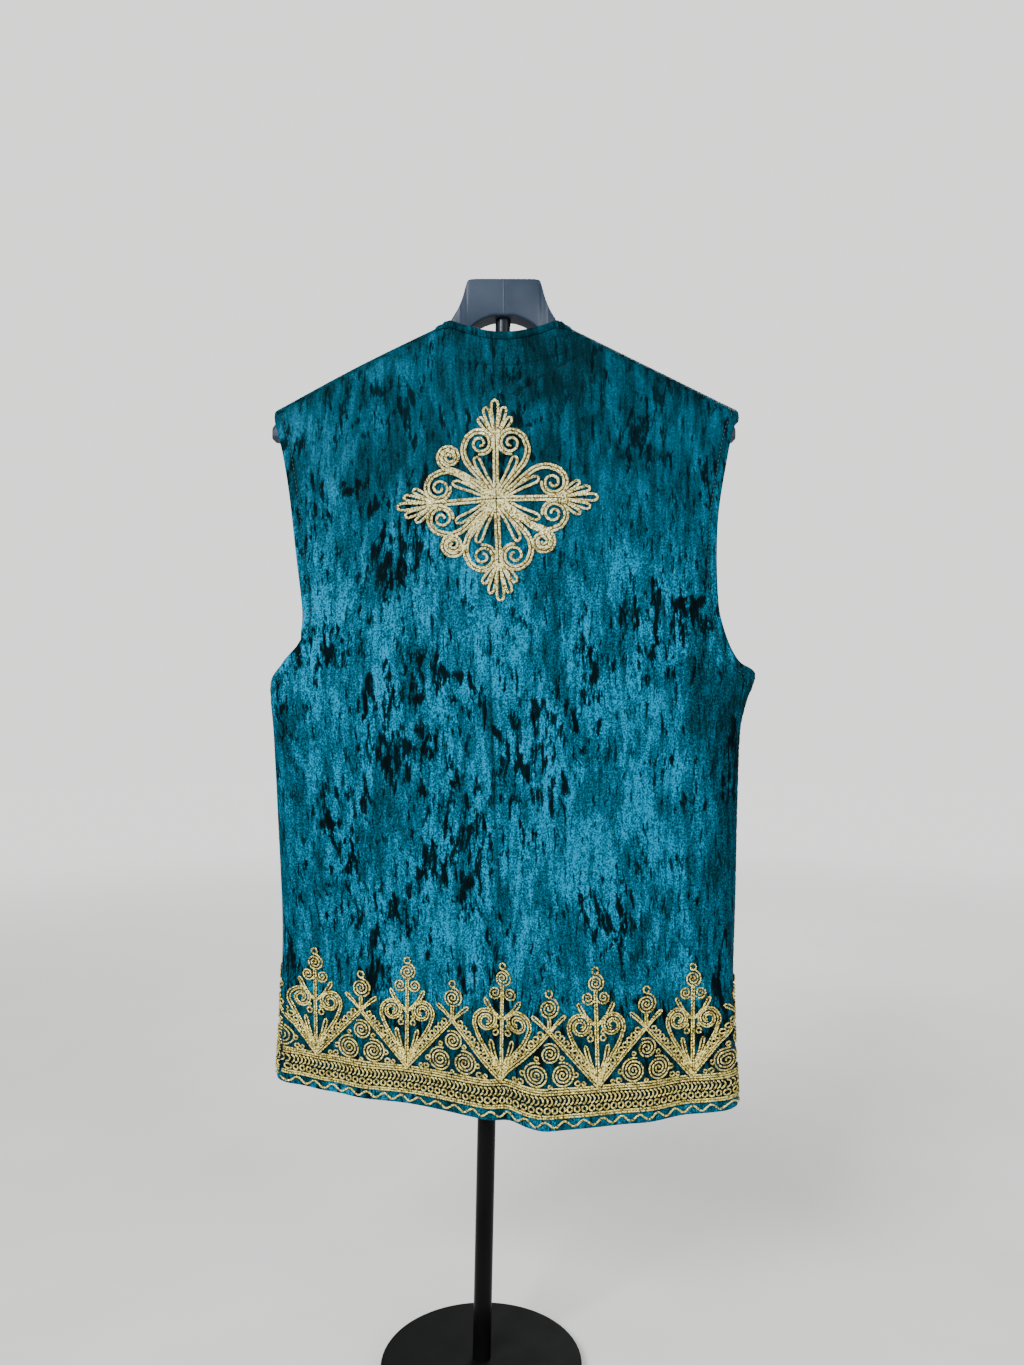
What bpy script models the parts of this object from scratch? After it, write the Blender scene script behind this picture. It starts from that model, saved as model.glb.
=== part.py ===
"""Embroidered velvet folk vest on a telescoping hanger stand.

Metres, +Z up. The origin is the centre of the stand base's underside. The vest's back faces -Y
and its open front faces +Y. The vest's cloth pieces are cut in a flat pattern space and wrapped
onto one surface:

    c  distance round the garment from the centre-back line, positive towards +X
    b  height along the cloth, equal to z except where it curls over a shoulder

Each appliqued braid is cut out of its panel's own triangles and moved out from the cloth.
"""

import math

import bmesh
import bpy
import numpy as np
from mathutils import Vector
from mathutils.geometry import delaunay_2d_cdt

# ---- cloth ------------------------------------------------------------------------------------
CLOTH_THICK = 0.0016
SEAM_GAP = 0.0003
BRAID_LIFT = 0.0003
BRAID_THICK = 0.0012

CENTRE_BACK_X = 0.024
CENTRE_FRONT_GAP = 0.008
SHOULDER_CURL = 0.016
NECK_RISE = 0.016
NECK_RISE_RUN = 0.008
# Rows over the shoulder curl, as distance below the seam.
CURL_ROWS = (0.0054, 0.0105, 0.0170)

# Silhouette of the body, as reach from the centre-back line and the depth it hangs at.
EDGE_COLUMNS = ("height", "reach", "y")
LEFT_EDGE = (
    (0.260, 0.2470, 0.042),
    (0.293, 0.2462, 0.040),
    (0.375, 0.2412, 0.036),
    (0.463, 0.2381, 0.030),
    (0.572, 0.2402, 0.018),
    (0.670, 0.2428, 0.007),
    (0.711, 0.2449, 0.002),
    (0.780, 0.2430, 0.000),
    (1.000, 0.2450, 0.000),
    (1.120, 0.2450, 0.000),
)
RIGHT_EDGE = (
    (0.260, 0.2432, -0.010),
    (0.283, 0.2424, -0.010),
    (0.409, 0.2375, -0.009),
    (0.490, 0.2402, -0.006),
    (0.600, 0.2435, -0.002),
    (0.668, 0.2466, 0.000),
    (0.695, 0.2522, 0.000),
    (0.727, 0.2623, 0.000),
    (0.760, 0.2570, 0.000),
    (0.850, 0.2500, 0.000),
    (1.002, 0.2500, 0.000),
    (1.120, 0.2500, 0.000),
)

# How deep the hanging vest is: the rounded shell, then how far each side swings out beyond it.
DEPTH_COLUMNS = ("height", "half_depth", "back_swing", "front_swing", "side_fold")
DEPTHS = (
    (0.260, 0.018, 0.077, 0.045, 0.020),
    (0.360, 0.019, 0.062, 0.040, 0.020),
    (0.463, 0.020, 0.046, 0.034, 0.020),
    (0.570, 0.021, 0.032, 0.027, 0.020),
    (0.670, 0.022, 0.022, 0.020, 0.018),
    (0.760, 0.024, 0.014, 0.015, 0.014),
    (0.900, 0.025, 0.006, 0.008, 0.010),
    (1.000, 0.024, 0.000, 0.000, 0.006),
    (1.120, 0.024, 0.000, 0.000, 0.006),
)

# Swing of the back across its width near the hem, where one side of a fold stands out.
HEM_SWING_COLUMNS = ("across", "share")
HEM_SWING = ((0.0, 0.0), (0.28, 0.25), (0.50, 0.84), (0.59, 1.0), (0.80, 0.55), (1.0, 0.0))
HEM_SWING_TOP = 0.62
HEM_SWING_BOTTOM = 0.40

# Soft ridges (positive) and troughs (negative) pressed into the cloth, each along one line:
# side, top x, top z, foot x, foot z, width, rise. Each swells up over its first stretch.
FOLD_SWELL = 2.5
FOLDS = (
    ("back", 0.016, 0.520, 0.030, 0.250, 0.013, -0.0100),
    ("back", 0.052, 0.500, 0.064, 0.250, 0.016, 0.0050),
    ("back", -0.158, 0.700, -0.168, 0.470, 0.014, 0.0030),
    ("back", 0.192, 0.760, 0.206, 0.440, 0.020, -0.0040),
    ("back", -0.110, 0.480, -0.130, 0.250, 0.022, 0.0040),
    ("back", 0.150, 0.520, 0.168, 0.250, 0.020, 0.0040),
    ("front", -0.120, 0.860, -0.150, 0.300, 0.024, 0.0050),
    ("front", 0.140, 0.840, 0.160, 0.300, 0.024, 0.0050),
    ("front", -0.060, 0.640, -0.050, 0.260, 0.020, -0.0050),
    ("front", 0.090, 0.660, 0.100, 0.260, 0.020, -0.0050),
)

# Cut edges of the pattern pieces, as reach from the centre-back line and height.
LEFT_SHOULDER = ((0.2379, 1.0005), (0.1500, 1.0480), (0.0640, 1.0900))
RIGHT_SHOULDER = ((0.2429, 1.0010), (0.1500, 1.0470), (0.0624, 1.0900))
BACK_NECK_HEIGHT = 1.0775
FRONT_NECK_HEIGHT = 0.880
LEFT_ARMHOLE = (
    (0.2299, 0.966),
    (0.2254, 0.946),
    (0.2190, 0.905),
    (0.2121, 0.843),
    (0.2070, 0.800),
    (0.2064, 0.780),
    (0.2084, 0.7625),
)
RIGHT_ARMHOLE = (
    (0.2342, 0.9765),
    (0.2260, 0.9355),
    (0.2190, 0.890),
    (0.2173, 0.843),
    (0.2190, 0.800),
    (0.2226, 0.780),
    (0.2306, 0.7564),
    (0.2403, 0.7400),
    (0.2496, 0.7335),
    (0.2580, 0.7275),
)
# Armhole of each front: distance on round the garment past the side fold (negative: before it),
# height.
LEFT_FRONT_ARMHOLE = (
    (-0.0310, 0.7545),
    (-0.0200, 0.7420),
    (-0.0090, 0.7250),
    (0.0000, 0.7110),
    (0.0140, 0.7060),
    (0.0300, 0.7200),
    (0.0430, 0.7500),
    (0.0520, 0.8000),
    (0.0560, 0.8500),
    (0.0500, 0.9000),
    (0.0330, 0.9450),
    (0.0120, 0.9780),
)
RIGHT_FRONT_ARMHOLE = (
    (0.0080, 0.7180),
    (0.0240, 0.7060),
    (0.0400, 0.7140),
    (0.0520, 0.7450),
    (0.0600, 0.8000),
    (0.0610, 0.8500),
    (0.0540, 0.9000),
    (0.0350, 0.9450),
    (0.0130, 0.9780),
)
# Side seams, by how far they lie on the back side of the fold.
SIDE_SEAM_COLUMNS = ("height", "inset")
LEFT_SIDE_SEAM = ((0.260, 0.010), (0.400, 0.013), (0.540, 0.020), (0.700, 0.034), (0.7625, 0.0355))
RIGHT_SIDE_SEAM = ((0.260, 0.004), (0.7275, 0.0043))

HEM_HEIGHT = 0.283
HEM_LIFT_LEFT = 0.010
HEM_LIFT_START, HEM_LIFT_WIDTH = 0.1162, 0.13

# ---- applied braid ----------------------------------------------------------------------------
NECKBAND_WIDE = 0.008
ARMHOLE_CORD_WIDE = 0.0045
CORD_PAST_FOLD = 0.004
WAVE_LOW, WAVE_HIGH = 0.0020, 0.0095
BORDER_LOW = 0.0110
BORDER_VALLEY = 0.092
TALL_MOTIF = 0.156
SHORT_MOTIF = 0.136
MOTIF_REPEAT = 0.0965
MOTIF_TIP_HALF_WIDE = 0.006
FIRST_TALL_MOTIF = -0.004
MEDALLION_C, MEDALLION_Z = -0.008, 0.905
MEDALLION_REACH = 0.107
MEDALLION_WAIST = 0.074
MEDALLION_POINTS = 48

# ---- spacing of the cloth's points ----------------------------------------------------------------
HEM_PITCH = 0.0215
SEAM_PITCH, SEAM_ROOM = 0.029, 0.010
OPENING_PITCH, OPENING_ROOM = 0.028, 0.012
# Rises above the hem of the points on a seam beside the border.
BORDER_ROWS = (0.038, 0.065)
END_ROOM = 0.006
ARMHOLE_PITCH, FRONT_ARMHOLE_PITCH = 0.016, 0.014
EDGE_PITCH, EDGE_CLEARANCE = 0.006, 0.0043
FOLD_OFFSETS = (0.0055, 0.0125, 0.0220, 0.0370)
FILL_ROWS = np.arange(0.308, 1.075, 0.031)
BACK_PLACES = np.arange(-0.1900, 0.1950, 0.0245)
HEM_FOLD_PLACES = np.arange(-0.0200, 0.0600, 0.0100)
HEM_FOLD_ROWS = FILL_ROWS[:6] + 0.015
FRONT_PLACES = np.arange(0.060, 0.25, 0.0255)
CLOTH_SHARP = math.radians(50)

# ---- stand ------------------------------------------------------------------------------------
BASE_RADIUS = 0.105
BASE_THICK = 0.012
BASE_ROUND = 0.004
FOOT_EDGE = 0.001
BASE_SIDES, TUBE_SIDES = 72, 32
TURNED_SHARP = math.radians(35)
POLE_LEAN = math.radians(1.19)
LOWER_TUBE_R, LOWER_BORE_R = 0.00953, 0.00835
LOWER_TUBE_TOP = 0.790
UPPER_TUBE_R, UPPER_BORE_R = 0.00795, 0.0066
UPPER_TUBE_LOW = 0.520
COLLAR_LOW, COLLAR_STEP, COLLAR_TOP = 0.764, 0.7905, 0.806
COLLAR_R = 0.0165
COLLAR_EDGE, COLLAR_SHOULDER = 0.001, 0.003
RUNNING_GAP = 0.0004

# ---- hanger -----------------------------------------------------------------------------------
HANGER_X = 0.0236
HANGER_TOP = 1.1376
ARCH_TOP = 1.0973
CROWN_STEPS = 8
HANGER_EDGE = 0.003
HANGER_SHARP = math.radians(40)
# Sections from the middle out: reach, top, bottom, half depth, crown.
HANGER = (
    (0.0000, HANGER_TOP, ARCH_TOP, 0.0150, 0.0040),
    (0.0090, HANGER_TOP, ARCH_TOP, 0.0150, 0.0040),
    (0.0180, HANGER_TOP, 1.0950, 0.0150, 0.0040),
    (0.0270, HANGER_TOP, 1.0905, 0.0150, 0.0040),
    (0.0340, 1.1372, 1.0850, 0.0150, 0.0040),
    (0.0372, 1.1360, 1.0790, 0.0150, 0.0040),
    (0.0390, 1.1320, 1.0740, 0.0150, 0.0040),
    (0.0425, 1.1195, 1.0665, 0.0150, 0.0045),
    (0.0470, 1.1085, 1.0595, 0.0155, 0.0060),
    (0.0525, 1.0995, 1.0535, 0.0160, 0.0080),
    (0.0580, 1.0905, 1.0490, 0.0155, 0.0090),
    (0.0640, 1.0835, 1.0440, 0.0160, 0.0120),
    (0.0850, 1.0728, 1.0335, 0.0170, 0.0140),
    (0.1150, 1.0578, 1.0190, 0.0175, 0.0140),
    (0.1500, 1.0405, 1.0035, 0.0175, 0.0140),
    (0.1850, 1.0223, 0.9880, 0.0175, 0.0140),
    (0.2120, 1.0072, 0.9770, 0.0165, 0.0140),
    (0.2260, 0.9985, 0.9725, 0.0150, 0.0130),
    (0.2345, 0.9925, 0.9700, 0.0135, 0.0110),
    (0.2400, 0.9850, 0.9705, 0.0120, 0.0080),
)

# ---- colours: linear base colour, roughness, metallic ---------------------------------------------
COLOURS = {
    "velvet": ((0.004, 0.105, 0.150, 1.0), 0.55, 0.0),
    "gold_braid": ((0.45, 0.36, 0.14, 1.0), 0.45, 0.4),
    "pale_gold_braid": ((0.60, 0.52, 0.28, 1.0), 0.45, 0.3),
    "hanger_plastic": ((0.070, 0.100, 0.145, 1.0), 0.42, 0.0),
    "black_steel": ((0.004, 0.004, 0.005, 1.0), 0.30, 0.0),
    "black_powder": ((0.008, 0.008, 0.009, 1.0), 0.55, 0.0),
}


# ---- smooth tables ------------------------------------------------------------------------------
def column(table, names, name):
    """One named column of a table, as an array."""
    return np.array([row[names.index(name)] for row in table])


def smooth(at, places, values):
    """Shape-keeping cubic through the table's values, flat beyond its ends."""
    at = np.clip(at, places[0], places[-1])
    steps = np.diff(places)
    slopes = np.diff(values) / steps
    rate = np.zeros(len(values))
    rate[0], rate[-1] = slopes[0], slopes[-1]
    for k in range(1, len(values) - 1):
        if slopes[k - 1] * slopes[k] > 0:
            rate[k] = 2.0 * slopes[k - 1] * slopes[k] / (slopes[k - 1] + slopes[k])
    k = np.clip(np.searchsorted(places, at, side="right") - 1, 0, len(steps) - 1)
    t = (at - places[k]) / steps[k]
    curve = values[k] * (1 + 2 * t) * (1 - t) ** 2 + values[k + 1] * t * t * (3 - 2 * t)
    return curve + steps[k] * (rate[k] * t * (1 - t) ** 2 - rate[k + 1] * t * t * (1 - t))


def from_table(table, names, at, want):
    """Value of one column at a place along the table's first column."""
    return smooth(at, column(table, names, names[0]), column(table, names, want))


def ease(t):
    """Smooth step from 0 to 1."""
    t = np.clip(t, 0.0, 1.0)
    return t * t * (3.0 - 2.0 * t)


# ---- the surface of the worn-flat vest ----------------------------------------------------------
def ridge_height(c):
    """Height of the line along the shoulders' tops, carried across the neck."""
    left = np.array(LEFT_SHOULDER[::-1])
    right = np.array(RIGHT_SHOULDER[::-1])
    slope_l = smooth(-c, left[:, 0], left[:, 1])
    slope_r = smooth(c, right[:, 0], right[:, 1])
    inside = np.where(c < 0, left[0, 0], right[0, 0]) - np.abs(c)
    return np.where(c < 0, slope_l, slope_r) + NECK_RISE * ease(inside / NECK_RISE_RUN)


def fold_relief(side, x, z):
    """Height of all the soft folds on one side of the vest."""
    total = np.zeros_like(x)
    for fold_side, top_x, top_z, foot_x, foot_z, width, rise in FOLDS:
        if fold_side != side:
            continue
        along = np.clip((top_z - z) / (top_z - foot_z), 0.0, 1.0)
        middle = top_x + (foot_x - top_x) * along
        swell = ease(along * FOLD_SWELL)
        total += rise * swell * np.exp(-(((x - middle) / width) ** 2))
    return total


def vest_surface(c, b):
    """Points of the outer face of the cloth for pattern places (c, b)."""
    c = np.atleast_1d(np.asarray(c, float))
    b = np.atleast_1d(np.asarray(b, float))
    left = from_table(LEFT_EDGE, EDGE_COLUMNS, b, "reach")
    right = from_table(RIGHT_EDGE, EDGE_COLUMNS, b, "reach")
    fold = from_table(DEPTHS, DEPTH_COLUMNS, b, "side_fold")
    on_left = c < (right - left) / 2.0
    from_fold = np.where(on_left, c + left, right - c)
    front = from_fold < 0
    run = np.abs(from_fold)
    turn = np.clip(run / fold, 0.0, 1.0) * math.pi / 2
    inset = np.where(run < fold, fold * (1.0 - np.cos(turn)), run)
    across = np.where(on_left, inset - left, right - inset)

    below = np.maximum(ridge_height(across) - b, 0.0)
    curl = np.clip(below / SHOULDER_CURL, 0.0, 1.0) * math.pi / 2
    drop = np.where(below < SHOULDER_CURL, SHOULDER_CURL * (1.0 - np.cos(curl)), below)
    z = ridge_height(across) - drop
    x = CENTRE_BACK_X + across

    share = (across + left) / (left + right)
    middle_y = from_table(LEFT_EDGE, EDGE_COLUMNS, b, "y") * (1.0 - share)
    middle_y = middle_y + from_table(RIGHT_EDGE, EDGE_COLUMNS, b, "y") * share
    hem_shape = from_table(HEM_SWING, HEM_SWING_COLUMNS, share, "share")
    belly = np.sin(math.pi * np.clip(share, 0.0, 1.0))
    settle = ease((b - HEM_SWING_BOTTOM) / (HEM_SWING_TOP - HEM_SWING_BOTTOM))
    back_out = from_table(DEPTHS, DEPTH_COLUMNS, b, "back_swing")
    back_out = back_out * (hem_shape + (belly - hem_shape) * settle) + fold_relief("back", x, z)
    front_out = from_table(DEPTHS, DEPTH_COLUMNS, b, "front_swing") * belly
    front_out = front_out + fold_relief("front", x, z)
    shell = from_table(DEPTHS, DEPTH_COLUMNS, b, "half_depth")
    round_in = np.sin(turn) * np.sin(curl)
    out = (shell + np.where(front, front_out, back_out)) * round_in
    y = middle_y + np.where(front, out, -out)
    return np.stack([x, y, z], axis=1)


def vest_normals(c, b):
    """Outward unit normals of the surface at pattern places (c, b)."""
    step = 0.0004
    round_about = vest_surface(c + step, b) - vest_surface(c - step, b)
    upward = vest_surface(c, b) - vest_surface(c, b - step)
    normals = np.cross(round_about, upward)
    return normals / np.linalg.norm(normals, axis=1, keepdims=True)


# ---- pattern lines --------------------------------------------------------------------------------
def reach_at(side, b):
    """Reach of the side fold from the centre back at height b."""
    table = LEFT_EDGE if side < 0 else RIGHT_EDGE
    return float(from_table(table, EDGE_COLUMNS, np.array([b]), "reach")[0])


def front_c(side, x, b):
    """Pattern distance of a place on a front panel that stands x from the centre back."""
    return side * (2.0 * reach_at(side, b) - side * x)


def hem_height(c):
    """Height of the hem's cut edge round the garment."""
    lift = ease((-c - HEM_LIFT_START) / HEM_LIFT_WIDTH)
    return HEM_HEIGHT + HEM_LIFT_LEFT * float(lift)


def seam_c(side, b):
    """Middle of a side seam at height b."""
    table = LEFT_SIDE_SEAM if side < 0 else RIGHT_SIDE_SEAM
    inset = float(from_table(table, SIDE_SEAM_COLUMNS, np.array([b]), "inset")[0])
    return side * (reach_at(side, b) - inset)


def braid_rises():
    """Rises above the hem at which the braids' edges meet a seam or an opening."""
    return (0.0, WAVE_LOW, WAVE_HIGH, BORDER_LOW) + BORDER_ROWS + (BORDER_VALLEY,)


def seam_heights(side):
    """Heights of the points on a side seam, with one at each braid's edge."""
    hem = hem_height(seam_c(side, HEM_HEIGHT))
    top = LEFT_ARMHOLE[-1][1] if side < 0 else RIGHT_ARMHOLE[-1][1]
    marks = [hem + rise for rise in braid_rises()]
    rows = np.arange(hem + BORDER_VALLEY + OPENING_PITCH, top - SEAM_ROOM, SEAM_PITCH)
    return marks + list(rows) + [top]


def side_seam(side, shift):
    """Points up a side seam, moved round the garment by shift."""
    return [(seam_c(side, b) + shift, b) for b in seam_heights(side)]


def centre_front(side):
    """Points up a front's opening edge, from the hem to the foot of the neck."""
    foot = hem_height(front_c(side, 0.0, HEM_HEIGHT))
    marks = [foot + rise for rise in braid_rises()]
    rows = np.arange(marks[-1] + OPENING_PITCH, FRONT_NECK_HEIGHT - OPENING_ROOM, OPENING_PITCH)
    x = side * CENTRE_FRONT_GAP / 2
    return [(front_c(side, x, b), b) for b in marks + list(rows)]


def hem_line(start, end, rise):
    """Points along a line parallel to the hem, between two places, ends left out."""
    count = max(2, round(abs(end - start) / HEM_PITCH))
    places = np.linspace(start, end, count + 1)[1:-1]
    return [(c, hem_height(c) + rise) for c in places]


def shoulder_reaches(side):
    """Reaches of the inner points along a shoulder, from its tip to the neck."""
    table = LEFT_SHOULDER if side < 0 else RIGHT_SHOULDER
    return list(np.linspace(table[0][0] - 0.018, table[-1][0] + 0.020, 8))


def shoulder_line(side, on_back):
    """Points along a shoulder seam from its tip to the neck, just to one side of the ridge."""
    table = LEFT_SHOULDER if side < 0 else RIGHT_SHOULDER
    tip, neck = table[0][0], table[-1][0]
    reaches = [tip, tip - ARMHOLE_CORD_WIDE] + shoulder_reaches(side) + [neck + NECKBAND_WIDE, neck]
    points = []
    for reach in reaches:
        b = ridge_at(side * reach) - SEAM_GAP / 2
        points.append((side * reach, b) if on_back else (front_c(side, side * reach, b), b))
    return points


def ridge_at(c):
    """Height of the shoulders' top line at one place."""
    return float(ridge_height(np.array([c]))[0])


def neck_corner(side, wide):
    """The first points of a neck edge as it curls off the shoulder seam, or of a line beside it."""
    corner = LEFT_SHOULDER[-1][0] if side < 0 else RIGHT_SHOULDER[-1][0]
    steps = ((0.0005, 0.0030), (0.0018, 0.0080), (0.0040, 0.0125), (0.0080, 0.0168))
    points = []
    for inward, below in steps:
        reach = corner - inward * (1.0 - 0.5 * wide / NECKBAND_WIDE) + wide
        points.append((side * reach, ridge_at(side * (reach - wide)) - below - 0.5 * wide))
    return points


def armhole_end(side, on_back):
    """The last points of an armhole edge, going up over the curl to the shoulder tip."""
    tip = LEFT_SHOULDER[0][0] if side < 0 else RIGHT_SHOULDER[0][0]
    points = []
    for below in CURL_ROWS[::-1]:
        reach = tip - 0.18 * below
        b = ridge_at(side * reach) - below
        points.append((side * reach, b) if on_back else (front_c(side, side * reach, b), b))
    return points


def back_neck(wide):
    """Points across the back neck, from left to right, ends left out, or a line below it."""
    left, right = neck_corner(-1, wide)[:-1], neck_corner(1, wide)[:-1]
    start, end = neck_corner(-1, 0.0)[-1], neck_corner(1, 0.0)[-1]
    points = []
    for share in np.linspace(0.0, 1.0, 11):
        c = start[0] + (end[0] - start[0]) * share
        level = start[1] + (end[1] - start[1]) * share
        points.append((c, level + (BACK_NECK_HEIGHT - level) * math.sin(math.pi * share) - wide))
    return left + points + right[::-1]


def front_neck(side, wide):
    """Points down a front's V neck, its first end left out, or a line beside it."""
    points = [(front_c(side, c, b), b) for c, b in neck_corner(side, wide)[:-1]]
    start = neck_corner(side, 0.0)[-2]
    for share in np.linspace(0.0, 1.0, 13)[1:]:
        reach = abs(start[0]) + (CENTRE_FRONT_GAP / 2 - abs(start[0])) * share
        bow = 0.006 * math.sin(math.pi * share)
        b = start[1] + (FRONT_NECK_HEIGHT - start[1]) * share
        points.append((front_c(side, side * (reach + bow + wide), b), b))
    return points


def with_points_every(gap, points):
    """The same line with points added so that none is further than gap from the next."""
    line = [points[0]]
    for start, end in zip(points, points[1:]):
        count = max(1, math.ceil(math.dist(start, end) / gap))
        for k in range(1, count + 1):
            line.append(tuple(np.array(start) + (np.array(end) - np.array(start)) * k / count))
    return line


def inset_line(points, distance, closed_side):
    """A line beside the given one, at a distance; closed_side is +1 to its left, -1 to its right."""
    points = np.array(points)
    ahead = np.gradient(points, axis=0)
    ahead /= np.linalg.norm(ahead, axis=1, keepdims=True)
    beside = np.stack([-ahead[:, 1], ahead[:, 0]], axis=1)
    return [tuple(p) for p in points + beside * distance * closed_side]


def border_top(start, end):
    """Zigzag of motif tips between two places, leaving out points too near either end."""
    low, high = min(start, end), max(start, end)
    points = []
    for k in range(-10, 11):
        middle = FIRST_TALL_MOTIF + MOTIF_REPEAT * k / 2
        tall = TALL_MOTIF if k % 2 == 0 else SHORT_MOTIF
        for offset, rise in ((-MOTIF_TIP_HALF_WIDE, tall), (MOTIF_TIP_HALF_WIDE, tall),
                             (MOTIF_REPEAT / 4, BORDER_VALLEY)):
            c = middle + offset
            if low + END_ROOM < c < high - END_ROOM:
                points.append((c, hem_height(c) + rise))
    return points if start < end else points[::-1]


def medallion_line():
    """Four-pointed outline of the back medallion."""
    points = []
    for k in range(MEDALLION_POINTS):
        angle = 2 * math.pi * k / MEDALLION_POINTS
        reach = MEDALLION_WAIST + (MEDALLION_REACH - MEDALLION_WAIST) * abs(math.cos(2 * angle)) ** 3
        points.append((MEDALLION_C + reach * math.cos(angle), MEDALLION_Z + reach * math.sin(angle)))
    return points


# ---- cutting and shaping ----------------------------------------------------------------------------
def is_inside(points, outline):
    """Which points lie inside a closed outline."""
    x, y = points[:, 0], points[:, 1]
    inside = np.zeros(len(points), bool)
    ring = np.array(outline)
    for (x0, y0), (x1, y1) in zip(ring, np.roll(ring, -1, axis=0)):
        crosses = (y0 > y) != (y1 > y)
        if y0 != y1:
            inside ^= crosses & (x < (x1 - x0) * (y - y0) / (y1 - y0) + x0)
    return inside


def clearance(points, line):
    """Distance of each point from the nearest point of a line."""
    return np.linalg.norm(points[:, None, :] - np.array(line)[None, :, :], axis=2).min(axis=1)


def cut_pattern(outline, filling, marks):
    """Triangulate a pattern piece with its inner points and the outlines marked on it."""
    filling = np.array(filling)
    filling = filling[is_inside(filling, outline)]
    for line in [outline] + list(marks.values()):
        ring = with_points_every(EDGE_PITCH, list(line) + [line[0]])
        filling = filling[clearance(filling, ring) > EDGE_CLEARANCE]
    points = [Vector(p) for p in outline]
    loops = [list(range(len(points)))]
    for line in marks.values():
        loops.append(list(range(len(points), len(points) + len(line))))
        points += [Vector(p) for p in line]
    points += [Vector(p) for p in filling]
    result = delaunay_2d_cdt(points, [], loops, 0, 1e-6)
    places = np.array([tuple(p) for p in result[0]])
    faces = np.array([tuple(face) for face in result[2]])
    keep = is_inside(places[faces].mean(axis=1), outline)
    return places, faces[keep]


def node(name, mesh, colour):
    """A named object with its own material."""
    base, roughness, metallic = COLOURS[colour]
    material = bpy.data.materials.new(name)
    material.use_nodes = True
    shader = material.node_tree.nodes["Principled BSDF"]
    shader.inputs["Base Color"].default_value = base
    shader.inputs["Roughness"].default_value = roughness
    shader.inputs["Metallic"].default_value = metallic
    mesh.materials.append(material)
    obj = bpy.data.objects.new(name, mesh)
    bpy.context.scene.collection.objects.link(obj)
    return obj


def cloth_node(name, places, faces, low, high, colour):
    """A closed wall of cloth between two distances out from the surface."""
    used = np.unique(faces)
    number = {int(old): new for new, old in enumerate(used)}
    c, b = places[used, 0], places[used, 1]
    points = vest_surface(c, b)
    normals = vest_normals(c, b)
    vertices = np.concatenate([points + normals * high, points + normals * low])
    count = len(used)
    walls = [tuple(number[int(v)] for v in face) for face in faces]
    edges = {(face[k], face[(k + 1) % 3]) for face in walls for k in range(3)}
    rim = [edge for edge in edges if (edge[1], edge[0]) not in edges]
    solid = list(walls)
    solid += [tuple(v + count for v in reversed(face)) for face in walls]
    for u, v in sorted(rim):
        solid += [(v, u, u + count), (v, u + count, v + count)]
    mesh = bpy.data.meshes.new(name)
    mesh.from_pydata([tuple(p) for p in vertices], [], solid)
    mesh.shade_smooth()
    mesh.set_sharp_from_angle(angle=CLOTH_SHARP)
    node(name, mesh, colour)


def panel(name, outline, filling, marks):
    """Build one pattern piece and the braids that lie on it."""
    lines = {braid: line for braid, (line, _) in marks.items()}
    places, faces = cut_pattern(outline, filling, lines)
    cloth_node(name, places, faces, -CLOTH_THICK, 0.0, "velvet")
    for braid, (line, colour) in marks.items():
        under = faces[is_inside(places[faces].mean(axis=1), line)]
        cloth_node(braid, places, under, BRAID_LIFT, BRAID_LIFT + BRAID_THICK, colour)


def grid(offsets, heights, place):
    """Inner points at each offset and height."""
    return [(place(offset, b), b) for offset in offsets for b in heights]


def curl_points(side, on_back):
    """Inner points in rows below a shoulder seam, where the cloth curls over the hanger."""
    points = []
    for reach in shoulder_reaches(side):
        for below in CURL_ROWS:
            b = ridge_at(side * reach) - below
            points.append((side * reach, b) if on_back else (front_c(side, side * reach, b), b))
    return points


# ---- the vest ---------------------------------------------------------------------------------------
def seam_point(seam):
    """Function giving the point of a seam at a rise above its foot."""
    foot = seam[0][1]

    def at(rise):
        return min(seam, key=lambda p: abs(p[1] - foot - rise))

    return at


def seam_part(seam, low, high):
    """Points of a seam strictly between two rises above its foot, going up."""
    foot = seam[0][1]
    return [p for p in seam if low + 1e-5 < p[1] - foot < high - 1e-5]


def hem_braids(prefix, first_seam, last_seam):
    """The wave braid and the border of one panel, which runs from one seam to another."""
    first, last = seam_point(first_seam), seam_point(last_seam)
    wave = [first(WAVE_LOW)] + hem_line(first(WAVE_LOW)[0], last(WAVE_LOW)[0], WAVE_LOW)
    wave += [last(WAVE_LOW), last(WAVE_HIGH)]
    wave += hem_line(last(WAVE_HIGH)[0], first(WAVE_HIGH)[0], WAVE_HIGH) + [first(WAVE_HIGH)]
    border = [first(BORDER_LOW)]
    border += hem_line(first(BORDER_LOW)[0], last(BORDER_LOW)[0], BORDER_LOW)
    border += [last(BORDER_LOW)] + seam_part(last_seam, BORDER_LOW, BORDER_VALLEY)
    border += [last(BORDER_VALLEY)]
    border += border_top(last(BORDER_VALLEY)[0], first(BORDER_VALLEY)[0])
    border += [first(BORDER_VALLEY)] + seam_part(first_seam, BORDER_LOW, BORDER_VALLEY)[::-1]
    return {f"wave_braid_{prefix}": (wave, "gold_braid"),
            f"hem_border_{prefix}": (border, "gold_braid")}


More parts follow.
